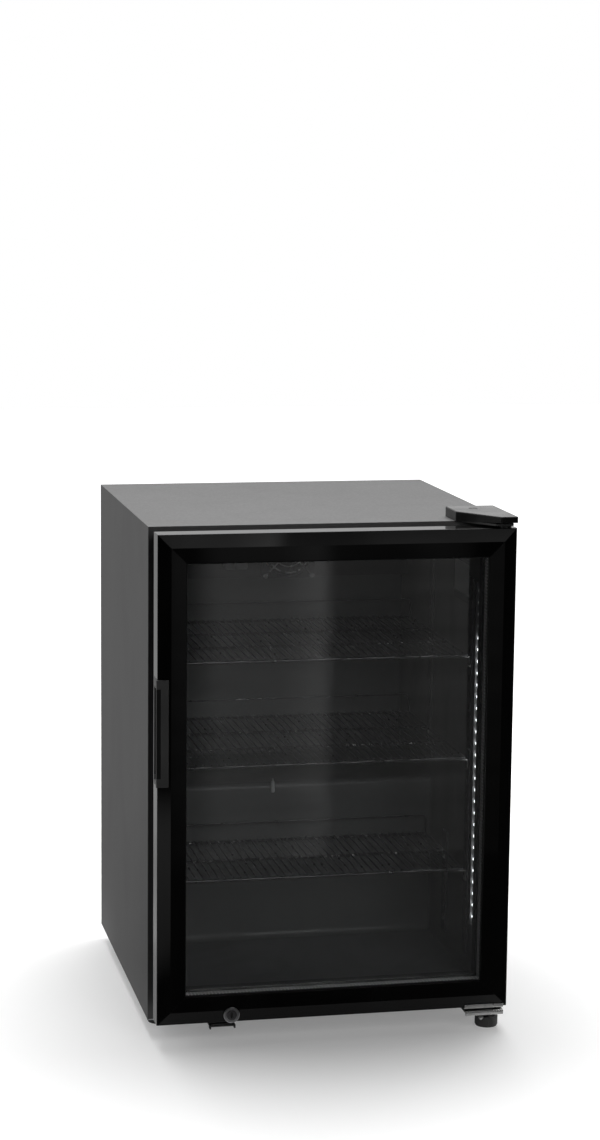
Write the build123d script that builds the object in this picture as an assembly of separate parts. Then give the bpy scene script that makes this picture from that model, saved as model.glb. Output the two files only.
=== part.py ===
from build123d import *
import math
import os

# Undercounter refrigerator with a glass door: every separate piece is one named node.
# Millimetres. While it is built, x = 0 is the middle of the cabinet, y = 0 is the cabinet's front
# face with the door on the -y side, and z = 0 is the floor. On export the whole part moves along y,
# so that the origin ends at the middle of the floor area that it covers.

# ---------------------------------------------------------------- overall sizes
WIDTH = 500.0
CABINET_DEPTH = 470.0
BODY_HEIGHT = 688.0
FLOOR_GAP = 22.0

# ---------------------------------------------------------------- cabinet
SHEET = 0.8
BASE_SHEET = 1.2
FRONT_SHEET = 1.2
SIDE_WALL = 37.0
TOP_WALL = 40.0
FLOOR_WALL = 36.0
REAR_WALL = 35.0
LINER = 1.5
LINER_CORNER_RADIUS = 10.0
STEP_FRONT = 240.0
STEP_HEIGHT = 271.0
STEP_WALL = 32.0
STEP_EDGE_RADIUS = 8.0
GRILLE_RECESS = 4.0
GRILLE_SLOT_LENGTH = 170.0
GRILLE_SLOT_HEIGHT = 5.0
GRILLE_SLOT_PITCH = 13.0
GLAND_RADIUS = 9.0
GLAND_LIP = 3.0
SCREW_RADIUS = 2.15
SCREW_HEAD_RADIUS = 4.15
SCREW_HEAD = 2.2
FIT_GAP = 0.3
TURN_GAP = 0.05

# ---------------------------------------------------------------- door
DOOR_SIDE_INSET = 3.0
DOOR_TOP_DROP = 2.6
DOOR_BOTTOM_LIFT = 11.7
DOOR_BACK = -29.6
RAIL_WIDTH = 39.0
RAIL_DEPTH = 35.8
RAIL_EDGE_DEPTH = 31.5
RAIL_CREST = 18.0
RAIL_LIP_DEPTH = 35.0
RAIL_WALL = 3.0
RAIL_CHAMBER_WIDTH = 19.0
RAIL_CHAMBER_DEPTH = 25.0
PANE = 4.0
PANE_SPACE = 12.0
PANE_INSET = 26.5
GROOVE_BACK = 10.1
GROOVE_INSET = 26.0
SPACER_INSET = 33.0
SPACER_HEIGHT = 7.0
BACK_FRAME_INSET = 5.0
BACK_FRAME_DEPTH = 16.6
GASKET_INSET = 8.0
GASKET_WIDTH = 16.0
GASKET_NECK = 3.0
GASKET_GAP = 0.5

# ---------------------------------------------------------------- handle
HANDLE_HEIGHT = 146.0
HANDLE_CENTRE = 417.5
HANDLE_DEPTH = 15.0
HANDLE_FACE_WIDTH = 13.5
HANDLE_PROUD = 2.0
HANDLE_FACE_PROUD = 0.8
HANDLE_BACK_WALL = 4.0
HANDLE_WALL = 1.6
HANDLE_LIP = 4.5
HANDLE_CAP = 14.0
HANDLE_FOOT = 5.0

# ---------------------------------------------------------------- hinges
HINGE_SIDE_INSET = 16.0
HINGE_FORWARD = 49.4
PIN_RADIUS = 4.0
PIN_REACH = 10.0
BUSH_RADIUS = 6.0
BUSH_FLANGE_RADIUS = 8.0
BUSH_FLANGE = 1.5
HINGE_AXIAL_GAP = 0.4
HINGE_PLATE = 3.0
HINGE_PLATE_BACK = 44.0
HINGE_PLATE_NOSE = 10.0
SHOE_SHEET = 2.0
SHOE_LIP = 1.2
SHOE_LIP_HEIGHT = 4.5
SHOE_WIDTH = 56.0
SHOE_DEPTH = 28.0
BRACKET_PLATE = 3.0
BRACKET_LIP_DROP = 6.3
BRACKET_LEG = 55.0
BRACKET_FRONT = 67.0
BRACKET_WIDTH = 54.0
BRACKET_INSET = 9.0
COVER_REACH = 70.0
COVER_BACK = 52.0
COVER_HEIGHT = 14.0
COVER_TIP_RISE = 5.5
COVER_WIDTH = 70.0
COVER_TIP_WIDTH = 24.0
COVER_SIDE_INSET = 4.0
COVER_SHOULDER = 4.0
COVER_WALL = 2.5
COVER_SCREW_RADIUS = 6.0
COVER_PLUG = 2.5

# ---------------------------------------------------------------- feet
FOOT_RADIUS = 16.0
FOOT_BODY = 14.0
FOOT_STUD_RADIUS = 4.0
FOOT_RIBS = 36
FOOT_GROOVE = 0.6
FOOT_RIM = 3.5
FOOT_DISH = 3.0
FOOT_SIDE_INSET = 25.0
FRONT_LEFT_FOOT_BACK = 60.0
REAR_FOOT_BACK = 385.0
BRACKET_FOOT_FORWARD = 38.0
INSERT_RADIUS = 8.0
INSERT_HEIGHT = 10.0

# ---------------------------------------------------------------- shelves
SHELF_HEIGHTS = {"upper_shelf": 499.0, "middle_shelf": 352.0, "lower_shelf": 191.0}
SHELF_FRONT = 28.0
DEEP_SHELF_DEPTH = 315.0
SHALLOW_SHELF_DEPTH = 202.0
SHELF_SIDE_GAP = 7.0
BAR_RADIUS = 2.25
WIRE_RADIUS = 1.25
WIRE_PITCH = 10.5
BAR_PITCH = 105.0
WELD_SINK = 0.4
STOP_HEIGHT = 28.0
STOP_BEND = 7.0
PILASTER_WIDTH = 22.0
PILASTER_THICKNESS = 2.5
FRONT_PILASTER_Y = 36.0
REAR_PILASTER_Y = 250.0
LOW_PILASTER_Y = 150.0
PILASTER_SLOT = 4.0
PILASTER_SLOT_HEIGHT = 10.0
PILASTER_PITCH = 21.0
CLIP_SHEET = 1.6
CLIP_WIDTH = 9.0
CLIP_HEIGHT = 16.0
CLIP_ARM = 9.0

# ---------------------------------------------------------------- light
LED_COUNT = 29
LED_PITCH = 16.67
LED_START = 122.0
LED_RECESS = 6.0
LED_FRONT = 3.0
LED_RECESS_WIDTH = 13.0
LED_TAPE_WIDTH = 10.0
LED_TAPE = 1.0
LED_CHIP = 5.0
LED_CHIP_HEIGHT = 1.4
LED_MARGIN = 12.0

# ---------------------------------------------------------------- cold air unit
COVER_PANEL_Y = 398.0
COVER_PANEL_BOTTOM = 552.0
COVER_PANEL_SHEET = 1.2
FAN_SIZE = 80.0
FAN_DEPTH = 25.0
FAN_X = 21.5
FAN_HEIGHT = 594.0
FAN_SCREW_PITCH = 71.5
FAN_WALL = 2.0
FAN_TIP_GAP = 1.5
FAN_HUB_RATIO = 0.4
FAN_CORNER_RATIO = 0.06
FAN_STRUT = 4.0
FAN_SHAFT_RADIUS = 2.0
FAN_BLADES = 7
BLADE_SHEET = 1.6
BLADE_ANGLE = 42.0
GUARD_WIRE = 1.1
GUARD_RING_RATIOS = (0.16, 0.28, 0.40)
GUARD_EYE_RADIUS = 3.85
COVER_SLOT = (70.0, 4.0)
COVER_SLOT_PITCH = 9.0
COVER_SLOT_ROWS = 4
COIL_LENGTH = 350.0
COIL_PASSES = 4
COIL_PITCH = 18.0
COIL_DEPTH = 30.0
COIL_TUBE_RADIUS = 4.0
FIN_SHEET = 0.8
FIN_PITCH = 10.0
TRAY_DEPTH = 7.0
TRAY_WALL = 1.2
SPOUT_X = 150.0
SPOUT_RADIUS = 5.0
PIPE_RADIUS = 4.0
PIPE_BEND = 10.0
WALL_PIPE_OFFSET = 13.0
KNOB_X = -58.0
KNOB_HEIGHT = 582.0
KNOB_RADIUS = 12.0
KNOB_DEPTH = 14.0
KNOB_SHAFT_RADIUS = 3.0
KNOB_SHAFT_LENGTH = 10.0
THERMOSTAT_SIZE = (34.0, 22.0, 28.0)

# ---------------------------------------------------------------- machine bay
CONDENSER_LENGTH = 130.0
CONDENSER_PASSES = 8
CONDENSER_X = -195.0
CONDENSER_Y = 380.0
BAY_FAN_SIZE = 120.0
BAY_FAN_SCREW_PITCH = 105.0
COMPRESSOR_X = 90.0
COMPRESSOR_Y = 368.0
COMPRESSOR_RADIUS = 62.0
COMPRESSOR_HEIGHT = 140.0
COMPRESSOR_SEAM = 2.5
COMPRESSOR_FOOT = (176.0, 120.0, 3.0)
GROMMET_RADIUS = 10.0
GROMMET_HEIGHT = 12.0
GROMMET_NECK_RADIUS = 5.0
TERMINAL_BOX = (28.0, 56.0, 60.0)
DRIER_RADIUS = 10.0
DRIER_LENGTH = 80.0

# ---------------------------------------------------------------- lock
LOCK_X = -144.4
LOCK_HEIGHT = 11.0
LOCK_BEZEL_RADIUS = 11.0
LOCK_SLEEVE_RADIUS = 9.5
LOCK_BARREL_RADIUS = 7.0
LOCK_PROUD = 3.0
LOCK_LENGTH = 24.0
KEY_SLOT = (1.8, 12.0, 8.0)
CAM_LENGTH = 31.0
CAM_WIDTH = 9.0
CAM_SHEET = 2.5
CAM_GAP = 1.0
TAIL_RADIUS = 3.0
STRIKE_WIDTH = 36.0
STRIKE_SHEET = 2.0
STRIKE_LEG = 40.0
STRIKE_TAB = 3.0

# ---------------------------------------------------------------- places worked out from the sizes
BODY_BOTTOM = FLOOR_GAP
BODY_TOP = FLOOR_GAP + BODY_HEIGHT
SHELL_HALF = WIDTH / 2 - SHEET
CABIN_HALF = WIDTH / 2 - SIDE_WALL
CABIN_FLOOR = BODY_BOTTOM + FLOOR_WALL
CABIN_TOP = BODY_TOP - TOP_WALL
CABIN_BACK = CABINET_DEPTH - REAR_WALL
STEP_TOP = BODY_BOTTOM + STEP_HEIGHT
BAY_FRONT = STEP_FRONT + STEP_WALL
BAY_TOP = STEP_TOP - STEP_WALL
BAY_FLOOR = BODY_BOTTOM + BASE_SHEET
DOOR_WIDTH = WIDTH - 2 * DOOR_SIDE_INSET
DOOR_BOTTOM = BODY_BOTTOM + DOOR_BOTTOM_LIFT
DOOR_TOP = BODY_TOP - DOOR_TOP_DROP
DOOR_HEIGHT = DOOR_TOP - DOOR_BOTTOM
DOOR_MIDDLE = (DOOR_TOP + DOOR_BOTTOM) / 2
HINGE_X = WIDTH / 2 - HINGE_SIDE_INSET
HINGE_Y = -HINGE_FORWARD
SHOE_BOTTOM = DOOR_BOTTOM - SHOE_SHEET
BRACKET_TOP = SHOE_BOTTOM - BUSH_FLANGE - HINGE_AXIAL_GAP
FAN_Z = BODY_BOTTOM + FAN_HEIGHT
FAN_FRONT = COVER_PANEL_Y - FAN_DEPTH
PANEL_BOTTOM = BODY_BOTTOM + COVER_PANEL_BOTTOM
COIL_BOTTOM = PANEL_BOTTOM + COVER_PANEL_SHEET + TRAY_DEPTH
TRAY_BACK = CABIN_BACK - FIT_GAP
COIL_Y = TRAY_BACK - TRAY_WALL - FIT_GAP - COIL_DEPTH / 2
FOOT_X = WIDTH / 2 - FOOT_SIDE_INSET
LED_BOTTOM = BODY_BOTTOM + LED_START
LED_Y = LED_FRONT + LED_RECESS_WIDTH / 2
LED_BACK_X = CABIN_HALF + LED_RECESS
CENTRING_SHIFT = (COVER_REACH - CABINET_DEPTH) / 2


# ---------------------------------------------------------------- shape helpers
def block(x, y, z):
    """A box from pairs of limits along x, y and z."""
    size = Box(x[1] - x[0], y[1] - y[0], z[1] - z[0])
    return Pos((x[0] + x[1]) / 2, (y[0] + y[1]) / 2, (z[0] + z[1]) / 2) * size


def prism_x(points, x):
    """A polygon of (y, z) points drawn out along x."""
    face = make_face(Plane.YZ * Polyline(*points, close=True))
    return Pos(x[0], 0, 0) * extrude(face, amount=x[1] - x[0], dir=(1, 0, 0))


def prism_z(points, z):
    """A polygon of (x, y) points drawn out along z."""
    face = make_face(Polyline(*points, close=True))
    return Pos(0, 0, z[0]) * extrude(face, amount=z[1] - z[0], dir=(0, 0, 1))


def rod_x(y, z, radius, x):
    return Pos((x[0] + x[1]) / 2, y, z) * Rot(0, 90, 0) * Cylinder(radius, x[1] - x[0])


def rod_y(x, z, radius, y):
    return Pos(x, (y[0] + y[1]) / 2, z) * Rot(90, 0, 0) * Cylinder(radius, y[1] - y[0])


def rod_z(x, y, radius, z):
    return Pos(x, y, (z[0] + z[1]) / 2) * Cylinder(radius, z[1] - z[0])


def picture_frame(inset, width, y):
    """A rectangular ring in the door's plane, `inset` from the door's outer edges."""
    outer = block((-DOOR_WIDTH / 2 + inset, DOOR_WIDTH / 2 - inset), y,
                  (DOOR_BOTTOM + inset, DOOR_TOP - inset))
    hole = inset + width
    inner = block((-DOOR_WIDTH / 2 + hole, DOOR_WIDTH / 2 - hole), (y[0] - 1, y[1] + 1),
                  (DOOR_BOTTOM + hole, DOOR_TOP - hole))
    return outer - inner


def pipe(points, radius, bend):
    """A round pipe along straight runs joined by arcs of one radius."""
    path = FilletPolyline(*points, radius=bend)
    start = Plane(origin=path @ 0, z_dir=path % 0)
    return sweep(start * Circle(radius), path=path)


# ---------------------------------------------------------------- cabinet
def cabin_space(grow):
    """The inside of the cabin, grown by `grow` into the walls: a box with a step at its lower back."""
    round_in = LINER_CORNER_RADIUS + grow
    step_round = STEP_EDGE_RADIUS - grow
    profile = FilletPolyline(
        (-1, CABIN_FLOOR - grow),
        (STEP_FRONT + grow, CABIN_FLOOR - grow),
        (STEP_FRONT + grow, STEP_TOP - grow),
        (CABIN_BACK + grow, STEP_TOP - grow),
        (CABIN_BACK + grow, CABIN_TOP + grow),
        (-1, CABIN_TOP + grow),
        radius=[round_in, step_round, round_in, round_in],
    )
    closed = Curve() + [profile, Line(profile @ 1, profile @ 0)]
    face = make_face(Plane.YZ * closed)
    half = CABIN_HALF + grow
    cabin = Pos(-half, 0, 0) * extrude(face, amount=2 * half, dir=(1, 0, 0))
    top = LED_BOTTOM + LED_PITCH * (LED_COUNT - 1) + LED_MARGIN
    light_recess = block((CABIN_HALF - 1, LED_BACK_X + grow),
                         (LED_FRONT - grow, LED_FRONT + LED_RECESS_WIDTH + grow),
                         (LED_BOTTOM - LED_MARGIN - grow, top + grow))
    return cabin + light_recess


def inner_liner():
    shell = cabin_space(LINER) - cabin_space(0)
    front = block((-WIDTH, WIDTH), (-10, 0), (0, 2 * BODY_HEIGHT))
    return shell - front - wall_pipe() - drain_spout()


def foam_insulation():
    """One foamed piece that fills the walls, with the machine bay left open at the lower back."""
    body = block((-SHELL_HALF, SHELL_HALF), (FRONT_SHEET, CABINET_DEPTH - SHEET),
                 (BODY_BOTTOM + BASE_SHEET, BODY_TOP - SHEET))
    bay = block((-WIDTH, WIDTH), (BAY_FRONT, CABINET_DEPTH), (0, BAY_TOP))
    foam = body - cabin_space(LINER) - bay
    foam -= rod_z(*insert_places()[0], INSERT_RADIUS, (BODY_BOTTOM, BAY_FLOOR + INSERT_HEIGHT))
    return foam - wall_pipe() - drain_spout()


def front_frame():
    plate = block((-SHELL_HALF, SHELL_HALF), (0, FRONT_SHEET),
                  (BODY_BOTTOM + BASE_SHEET, BODY_TOP - SHEET))
    return plate - cabin_space(LINER)


def side_panels():
    right = block((SHELL_HALF, WIDTH / 2), (0, CABINET_DEPTH), (BODY_BOTTOM, BODY_TOP - SHEET))
    return [mirror(right, about=Plane.YZ), right]


def top_panel():
    plate = block((-WIDTH / 2, WIDTH / 2), (0, CABINET_DEPTH), (BODY_TOP - SHEET, BODY_TOP))
    for x, y in hinge_screw_places():
        plate -= rod_z(x, y, SCREW_RADIUS, (BODY_TOP - 2, BODY_TOP + 1))
    return plate


def rear_panel():
    return block((-SHELL_HALF, SHELL_HALF), (CABINET_DEPTH - SHEET, CABINET_DEPTH),
                 (BAY_TOP, BODY_TOP - SHEET))


def insert_places():
    return [(-FOOT_X, FRONT_LEFT_FOOT_BACK), (-FOOT_X, REAR_FOOT_BACK), (FOOT_X, REAR_FOOT_BACK)]


def base_plate():
    plate = block((-SHELL_HALF, SHELL_HALF), (0, CABINET_DEPTH - GRILLE_RECESS - SHEET),
                  (BODY_BOTTOM, BAY_FLOOR))
    for x, y in insert_places():
        plate -= rod_z(x, y, FOOT_STUD_RADIUS + 2 * FIT_GAP, (0, 2 * BAY_FLOOR))
    return plate


def foot_inserts():
    """Threaded bosses over the base plate that the feet screw into."""
    top = BAY_FLOOR + INSERT_HEIGHT
    bosses = []
    for x, y in insert_places():
        boss = rod_z(x, y, INSERT_RADIUS, (BAY_FLOOR, top))
        bosses.append(boss - rod_z(x, y, FOOT_STUD_RADIUS + TURN_GAP, (0, 2 * top)))
    return bosses


def compressor_bulkhead():
    """The bent sheet that closes the foam towards the machine bay."""
    back = CABINET_DEPTH - SHEET
    sheet = [(BAY_FRONT, BAY_FLOOR), (BAY_FRONT + SHEET, BAY_FLOOR),
             (BAY_FRONT + SHEET, BAY_TOP - SHEET), (back, BAY_TOP - SHEET),
             (back, BAY_TOP), (BAY_FRONT, BAY_TOP)]
    bulkhead = prism_x(sheet, (-SHELL_HALF, SHELL_HALF))
    return bulkhead - wall_pipe() - drain_spout()


def gland_place():
    return SHELL_HALF - 45, BAY_FLOOR + 35


def rear_grille():
    back = CABINET_DEPTH - GRILLE_RECESS
    grille = block((-SHELL_HALF, SHELL_HALF), (back - SHEET, back), (BAY_FLOOR, BAY_TOP - SHEET))
    rows = int((BAY_TOP - BAY_FLOOR - 90) / GRILLE_SLOT_PITCH)
    for row in range(rows):
        z = BAY_TOP - 25 - row * GRILLE_SLOT_PITCH
        for side in (-1, 1):
            x = side * (GRILLE_SLOT_LENGTH / 2 + 15)
            slot = block((x - GRILLE_SLOT_LENGTH / 2, x + GRILLE_SLOT_LENGTH / 2),
                         (back - 2 * SHEET, back + SHEET),
                         (z - GRILLE_SLOT_HEIGHT / 2, z + GRILLE_SLOT_HEIGHT / 2))
            grille -= slot
    x, z = gland_place()
    return grille - rod_y(x, z, GLAND_RADIUS, (back - 5, back + 5))


def cable_gland():
    """The closed rubber gland in the grille where the mains lead goes in."""
    x, z = gland_place()
    back = CABINET_DEPTH - GRILLE_RECESS
    body = rod_y(x, z, GLAND_RADIUS - TURN_GAP, (back - SHEET - GLAND_LIP, back + GLAND_LIP))
    for start in (back - SHEET - GLAND_LIP, back):
        body += rod_y(x, z, GLAND_RADIUS + GLAND_LIP, (start, start + GLAND_LIP))
    return body


# ---------------------------------------------------------------- cold air unit
def fan_screws(size_pitch):
    half = size_pitch / 2
    return [(sx * half, sz * half) for sx in (-1, 1) for sz in (-1, 1)]


def fan_housing(size, screw_pitch):
    """A square axial fan frame about the origin, with its air axis along y from 0 to its depth."""
    bore = size / 2 - FAN_WALL
    hub = bore * FAN_HUB_RATIO
    body = block((-size / 2, size / 2), (0, FAN_DEPTH), (-size / 2, size / 2))
    body = fillet(body.edges().filter_by(Axis.Y), size * FAN_CORNER_RATIO)
    body -= rod_y(0, 0, bore, (-1, FAN_DEPTH + 1))
    for x, z in fan_screws(screw_pitch):
        body -= rod_y(x, z, SCREW_RADIUS, (-1, FAN_DEPTH + 1))
    struts = rod_y(0, 0, hub, (FAN_DEPTH - FAN_STRUT, FAN_DEPTH))
    for turn in (45, 135):
        bar = block((-bore - 1, bore + 1), (FAN_DEPTH - FAN_STRUT + 1, FAN_DEPTH),
                    (-FAN_STRUT / 2, FAN_STRUT / 2))
        struts += Rot(0, turn, 0) * bar
    shaft_hole = rod_y(0, 0, FAN_SHAFT_RADIUS + TURN_GAP, (0, FAN_DEPTH + 1))
    return body + struts - shaft_hole


def fan_rotor(size):
    """The hub, shaft and blades that turn inside `fan_housing`."""
    bore = size / 2 - FAN_WALL
    hub_radius = bore * FAN_HUB_RATIO
    front, back = 2.0, FAN_DEPTH - FAN_STRUT - 0.5
    hub = rod_y(0, 0, hub_radius, (front, back))
    hub = fillet(hub.edges().sort_by(Axis.Y)[0], 2)
    rotor = hub + rod_y(0, 0, FAN_SHAFT_RADIUS, (front + 1, FAN_DEPTH - 0.5))
    reach = bore - FAN_TIP_GAP
    ring = rod_y(0, 0, reach, (front + 1, back - 1)) - rod_y(0, 0, hub_radius - 1, (0, FAN_DEPTH))
    chord = (back - front) * 1.5
    blades = []
    for index in range(FAN_BLADES):
        blade = block((hub_radius - 2, bore), (-BLADE_SHEET / 2, BLADE_SHEET / 2), (-chord / 2, chord / 2))
        blade = Pos(0, (front + back) / 2, 0) * Rot(BLADE_ANGLE, 0, 0) * blade
        blades.append(Rot(0, 360 / FAN_BLADES * index, 0) * (blade & ring))
    return rotor + blades


def evaporator_cover():
    """The panel and floor that box in the coil under the ceiling, with the fan's opening."""
    half = CABIN_HALF - FIT_GAP
    back = CABIN_BACK - FIT_GAP
    front = COVER_PANEL_Y
    top = CABIN_TOP - FIT_GAP
    panel = block((-half, half), (front, front + COVER_PANEL_SHEET), (PANEL_BOTTOM, top))
    floor = block((-half, half), (front, back), (PANEL_BOTTOM, PANEL_BOTTOM + COVER_PANEL_SHEET))
    slot_length, slot_height = COVER_SLOT
    cover = panel + floor
    cover -= rod_y(FAN_X, FAN_Z, FAN_SIZE / 2 - FAN_WALL, (front - 1, front + 2))
    for x, z in fan_screws(FAN_SCREW_PITCH):
        cover -= rod_y(FAN_X + x, FAN_Z + z, SCREW_RADIUS, (front - 1, front + 2))
    for side in (-1, 1):
        for row in range(COVER_SLOT_ROWS):
            z = top - LINER_CORNER_RADIUS - 14 - row * COVER_SLOT_PITCH
            x = side * (half - 60)
            cover -= block((x - slot_length / 2, x + slot_length / 2), (front - 1, front + 2),
                           (z - slot_height / 2, z + slot_height / 2))
    return cover


def fan_guard():
    """Three wire rings on a cross whose ends are screwed to the fan's corners."""
    y = -GUARD_WIRE
    guard = Part()
    for ratio in GUARD_RING_RATIOS:
        guard += Pos(0, y, 0) * Rot(90, 0, 0) * Torus(FAN_SIZE * ratio, GUARD_WIRE)
    half = FAN_SCREW_PITCH / math.sqrt(2)
    for turn in (45, 135):
        guard += Rot(0, turn, 0) * rod_x(y, 0, GUARD_WIRE, (-half, half))
    for x, z in fan_screws(FAN_SCREW_PITCH):
        guard += rod_y(x, z, SCREW_RADIUS - TURN_GAP, (0, FAN_DEPTH + COVER_PANEL_SHEET + 2))
        guard += rod_y(x, z, GUARD_EYE_RADIUS, (-2 * GUARD_WIRE, 0))
    return Pos(FAN_X, FAN_FRONT, FAN_Z) * guard


def coil_fins(length, passes, depth):
    """Fins along x with a row of tube holes, standing from z = 0."""
    height = COIL_PITCH * passes
    plate = Pos(0, height / 2) * Rectangle(depth, height)
    for row in range(passes):
        plate -= Pos(0, COIL_PITCH * (row + 0.5)) * Circle(COIL_TUBE_RADIUS + TURN_GAP)
    count = int(length / FIN_PITCH)
    fin = extrude(Plane.YZ * plate, amount=FIN_SHEET, dir=(1, 0, 0))
    start = -FIN_PITCH * (count - 1) / 2
    return [Pos(start + FIN_PITCH * index, 0, 0) * fin for index in range(count)]


def coil_tube(length, passes):
    """The tube that runs to and fro through `coil_fins`."""
    reach = length / 2 + COIL_PITCH / 2
    points = []
    for row in range(passes):
        z = COIL_PITCH * (row + 0.5)
        ends = [(-reach, 0, z), (reach, 0, z)]
        points += ends if row % 2 == 0 else ends[::-1]
    return pipe(points, COIL_TUBE_RADIUS, COIL_PITCH / 2 - 0.05)


def coil_end():
    """Where the cold coil's upper end leaves for the compressor."""
    reach = COIL_LENGTH / 2 + COIL_PITCH / 2
    return -reach, COIL_Y, COIL_BOTTOM + COIL_PITCH * (COIL_PASSES - 0.5)


def wall_pipe():
    """The suction pipe: out of the cabin, down inside the back wall and over to the compressor."""
    x, y, z = coil_end()
    turn_x = x - 2 * PIPE_BEND
    wall_y = CABIN_BACK + WALL_PIPE_OFFSET
    bay_z = BAY_TOP - 25
    stub_x = COMPRESSOR_X - COMPRESSOR_RADIUS / 2
    points = [(x, y, z), (turn_x, y, z), (turn_x, wall_y, z), (turn_x, wall_y, bay_z),
              (stub_x, wall_y, bay_z), (stub_x, wall_y, bay_z - 45), (stub_x, COMPRESSOR_Y, bay_z - 45)]
    return pipe(points, PIPE_RADIUS, PIPE_BEND)


def drain_spout():
    """The drain: from the tray through the back wall and down into the machine bay."""
    z = PANEL_BOTTOM + COVER_PANEL_SHEET + SPOUT_RADIUS + 1
    wall_y = CABIN_BACK + WALL_PIPE_OFFSET
    points = [(SPOUT_X, TRAY_BACK - TRAY_WALL / 2, z), (SPOUT_X, wall_y, z),
              (SPOUT_X, wall_y, BAY_TOP - 30)]
    return pipe(points, SPOUT_RADIUS, PIPE_BEND)


def drain_tray():
    """A shallow tray under the coil, with its drain hose fixed to it."""
    half = COIL_LENGTH / 2 + 5
    y = (COIL_Y - COIL_DEPTH / 2, TRAY_BACK)
    bottom = PANEL_BOTTOM + COVER_PANEL_SHEET
    tray = block((-half, half), y, (bottom, bottom + TRAY_DEPTH))
    tray -= block((-half + TRAY_WALL, half - TRAY_WALL), (y[0] + TRAY_WALL, y[1] - TRAY_WALL),
                  (bottom + TRAY_WALL, bottom + TRAY_DEPTH + 1))
    outlet = block((SPOUT_X - 8, SPOUT_X + 8), (y[1] - TRAY_WALL, y[1]),
                   (bottom, bottom + 2 * SPOUT_RADIUS + 2))
    return tray + outlet + drain_spout()


def thermostat_body():
    """The thermostat's housing on the front of the panel, with the hole for the knob's shaft."""
    width, depth, height = THERMOSTAT_SIZE
    x, z = KNOB_X, BODY_BOTTOM + KNOB_HEIGHT
    body = block((x - width / 2, x + width / 2), (COVER_PANEL_Y - depth, COVER_PANEL_Y),
                 (z - height / 2, z + height / 2))
    body = fillet(body.edges().filter_by(Axis.Y), 3)
    front = COVER_PANEL_Y - depth
    return body - rod_y(x, z, KNOB_SHAFT_RADIUS + TURN_GAP, (front - 1, front + KNOB_SHAFT_LENGTH + 1))


def thermostat_knob():
    """A round knob with two flats to grip."""
    x, z = KNOB_X, BODY_BOTTOM + KNOB_HEIGHT
    back = COVER_PANEL_Y - THERMOSTAT_SIZE[1] - FIT_GAP
    front = back - KNOB_DEPTH
    knob = rod_y(x, z, KNOB_RADIUS, (front, back))
    knob = fillet(knob.edges().sort_by(Axis.Y)[0], 1.5)
    for side in (-1, 1):
        middle = x + side * KNOB_RADIUS
        knob -= block((middle - 8, middle + 8), (front - 1, back - 4), (z - KNOB_RADIUS, z + KNOB_RADIUS))
    return knob + rod_y(x, z, KNOB_SHAFT_RADIUS, (back - 1, back + KNOB_SHAFT_LENGTH))


# ---------------------------------------------------------------- machine bay
def compressor():
    """A welded steel can with domed ends, standing on its foot plate."""
    foot_bottom = BAY_FLOOR + GROMMET_HEIGHT
    width, depth, sheet = COMPRESSOR_FOOT
    can = Cylinder(COMPRESSOR_RADIUS, COMPRESSOR_HEIGHT)
    can = fillet(can.edges().filter_by(GeomType.CIRCLE), COMPRESSOR_RADIUS * 0.55)
    can += Pos(0, 0, 8) * Cylinder(COMPRESSOR_RADIUS + COMPRESSOR_SEAM, 4)
    can = Pos(0, 0, COMPRESSOR_HEIGHT / 2) * can
    foot = block((-width / 2, width / 2), (-depth / 2, depth / 2), (0, sheet))
    foot = fillet(foot.edges().filter_by(Axis.Z), 10)
    for x, y in compressor_holes():
        foot -= rod_z(x, y, GROMMET_NECK_RADIUS + TURN_GAP, (-1, sheet + 1))
    return Pos(COMPRESSOR_X, COMPRESSOR_Y, foot_bottom) * (can + foot)


def compressor_holes():
    width, depth, _ = COMPRESSOR_FOOT
    return [(sx * (width / 2 - 12), sy * (depth / 2 - 12)) for sx in (-1, 1) for sy in (-1, 1)]


def compressor_grommets():
    sheet = COMPRESSOR_FOOT[2]
    grommets = []
    for x, y in compressor_holes():
        spool = rod_z(x, y, GROMMET_RADIUS, (0, GROMMET_HEIGHT))
        spool += rod_z(x, y, GROMMET_NECK_RADIUS, (0, GROMMET_HEIGHT + sheet + 1))
        spool += rod_z(x, y, GROMMET_RADIUS - 2, (GROMMET_HEIGHT + sheet, GROMMET_HEIGHT + sheet + 3))
        grommets.append(Pos(COMPRESSOR_X, COMPRESSOR_Y, BAY_FLOOR) * spool)
    return grommets


def terminal_cover():
    """The box over the compressor's terminals and start relay."""
    depth, width, height = TERMINAL_BOX
    x = COMPRESSOR_X + COMPRESSOR_RADIUS
    z = BAY_FLOOR + GROMMET_HEIGHT + COMPRESSOR_HEIGHT * 0.35
    box = block((x - 12, x - 12 + depth), (COMPRESSOR_Y - width / 2, COMPRESSOR_Y + width / 2),
                (z - height / 2, z + height / 2))
    can = rod_z(COMPRESSOR_X, COMPRESSOR_Y, COMPRESSOR_RADIUS + COMPRESSOR_SEAM + FIT_GAP, (0, BAY_TOP))
    return fillet((box - can).edges().filter_by(Axis.Z).sort_by(Axis.X)[-2:], 4)


def on_bay_floor(shape):
    """Turn a coil or fan that was built about x and set it down beside the bay's left wall."""
    return Pos(CONDENSER_X, CONDENSER_Y, BAY_FLOOR) * Rot(0, 0, 90) * shape


def bay_fan_place():
    gap = COIL_DEPTH / 2 + FIT_GAP
    return Pos(CONDENSER_X + gap, CONDENSER_Y, BAY_FLOOR + BAY_FAN_SIZE / 2) * Rot(0, 0, -90)


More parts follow.
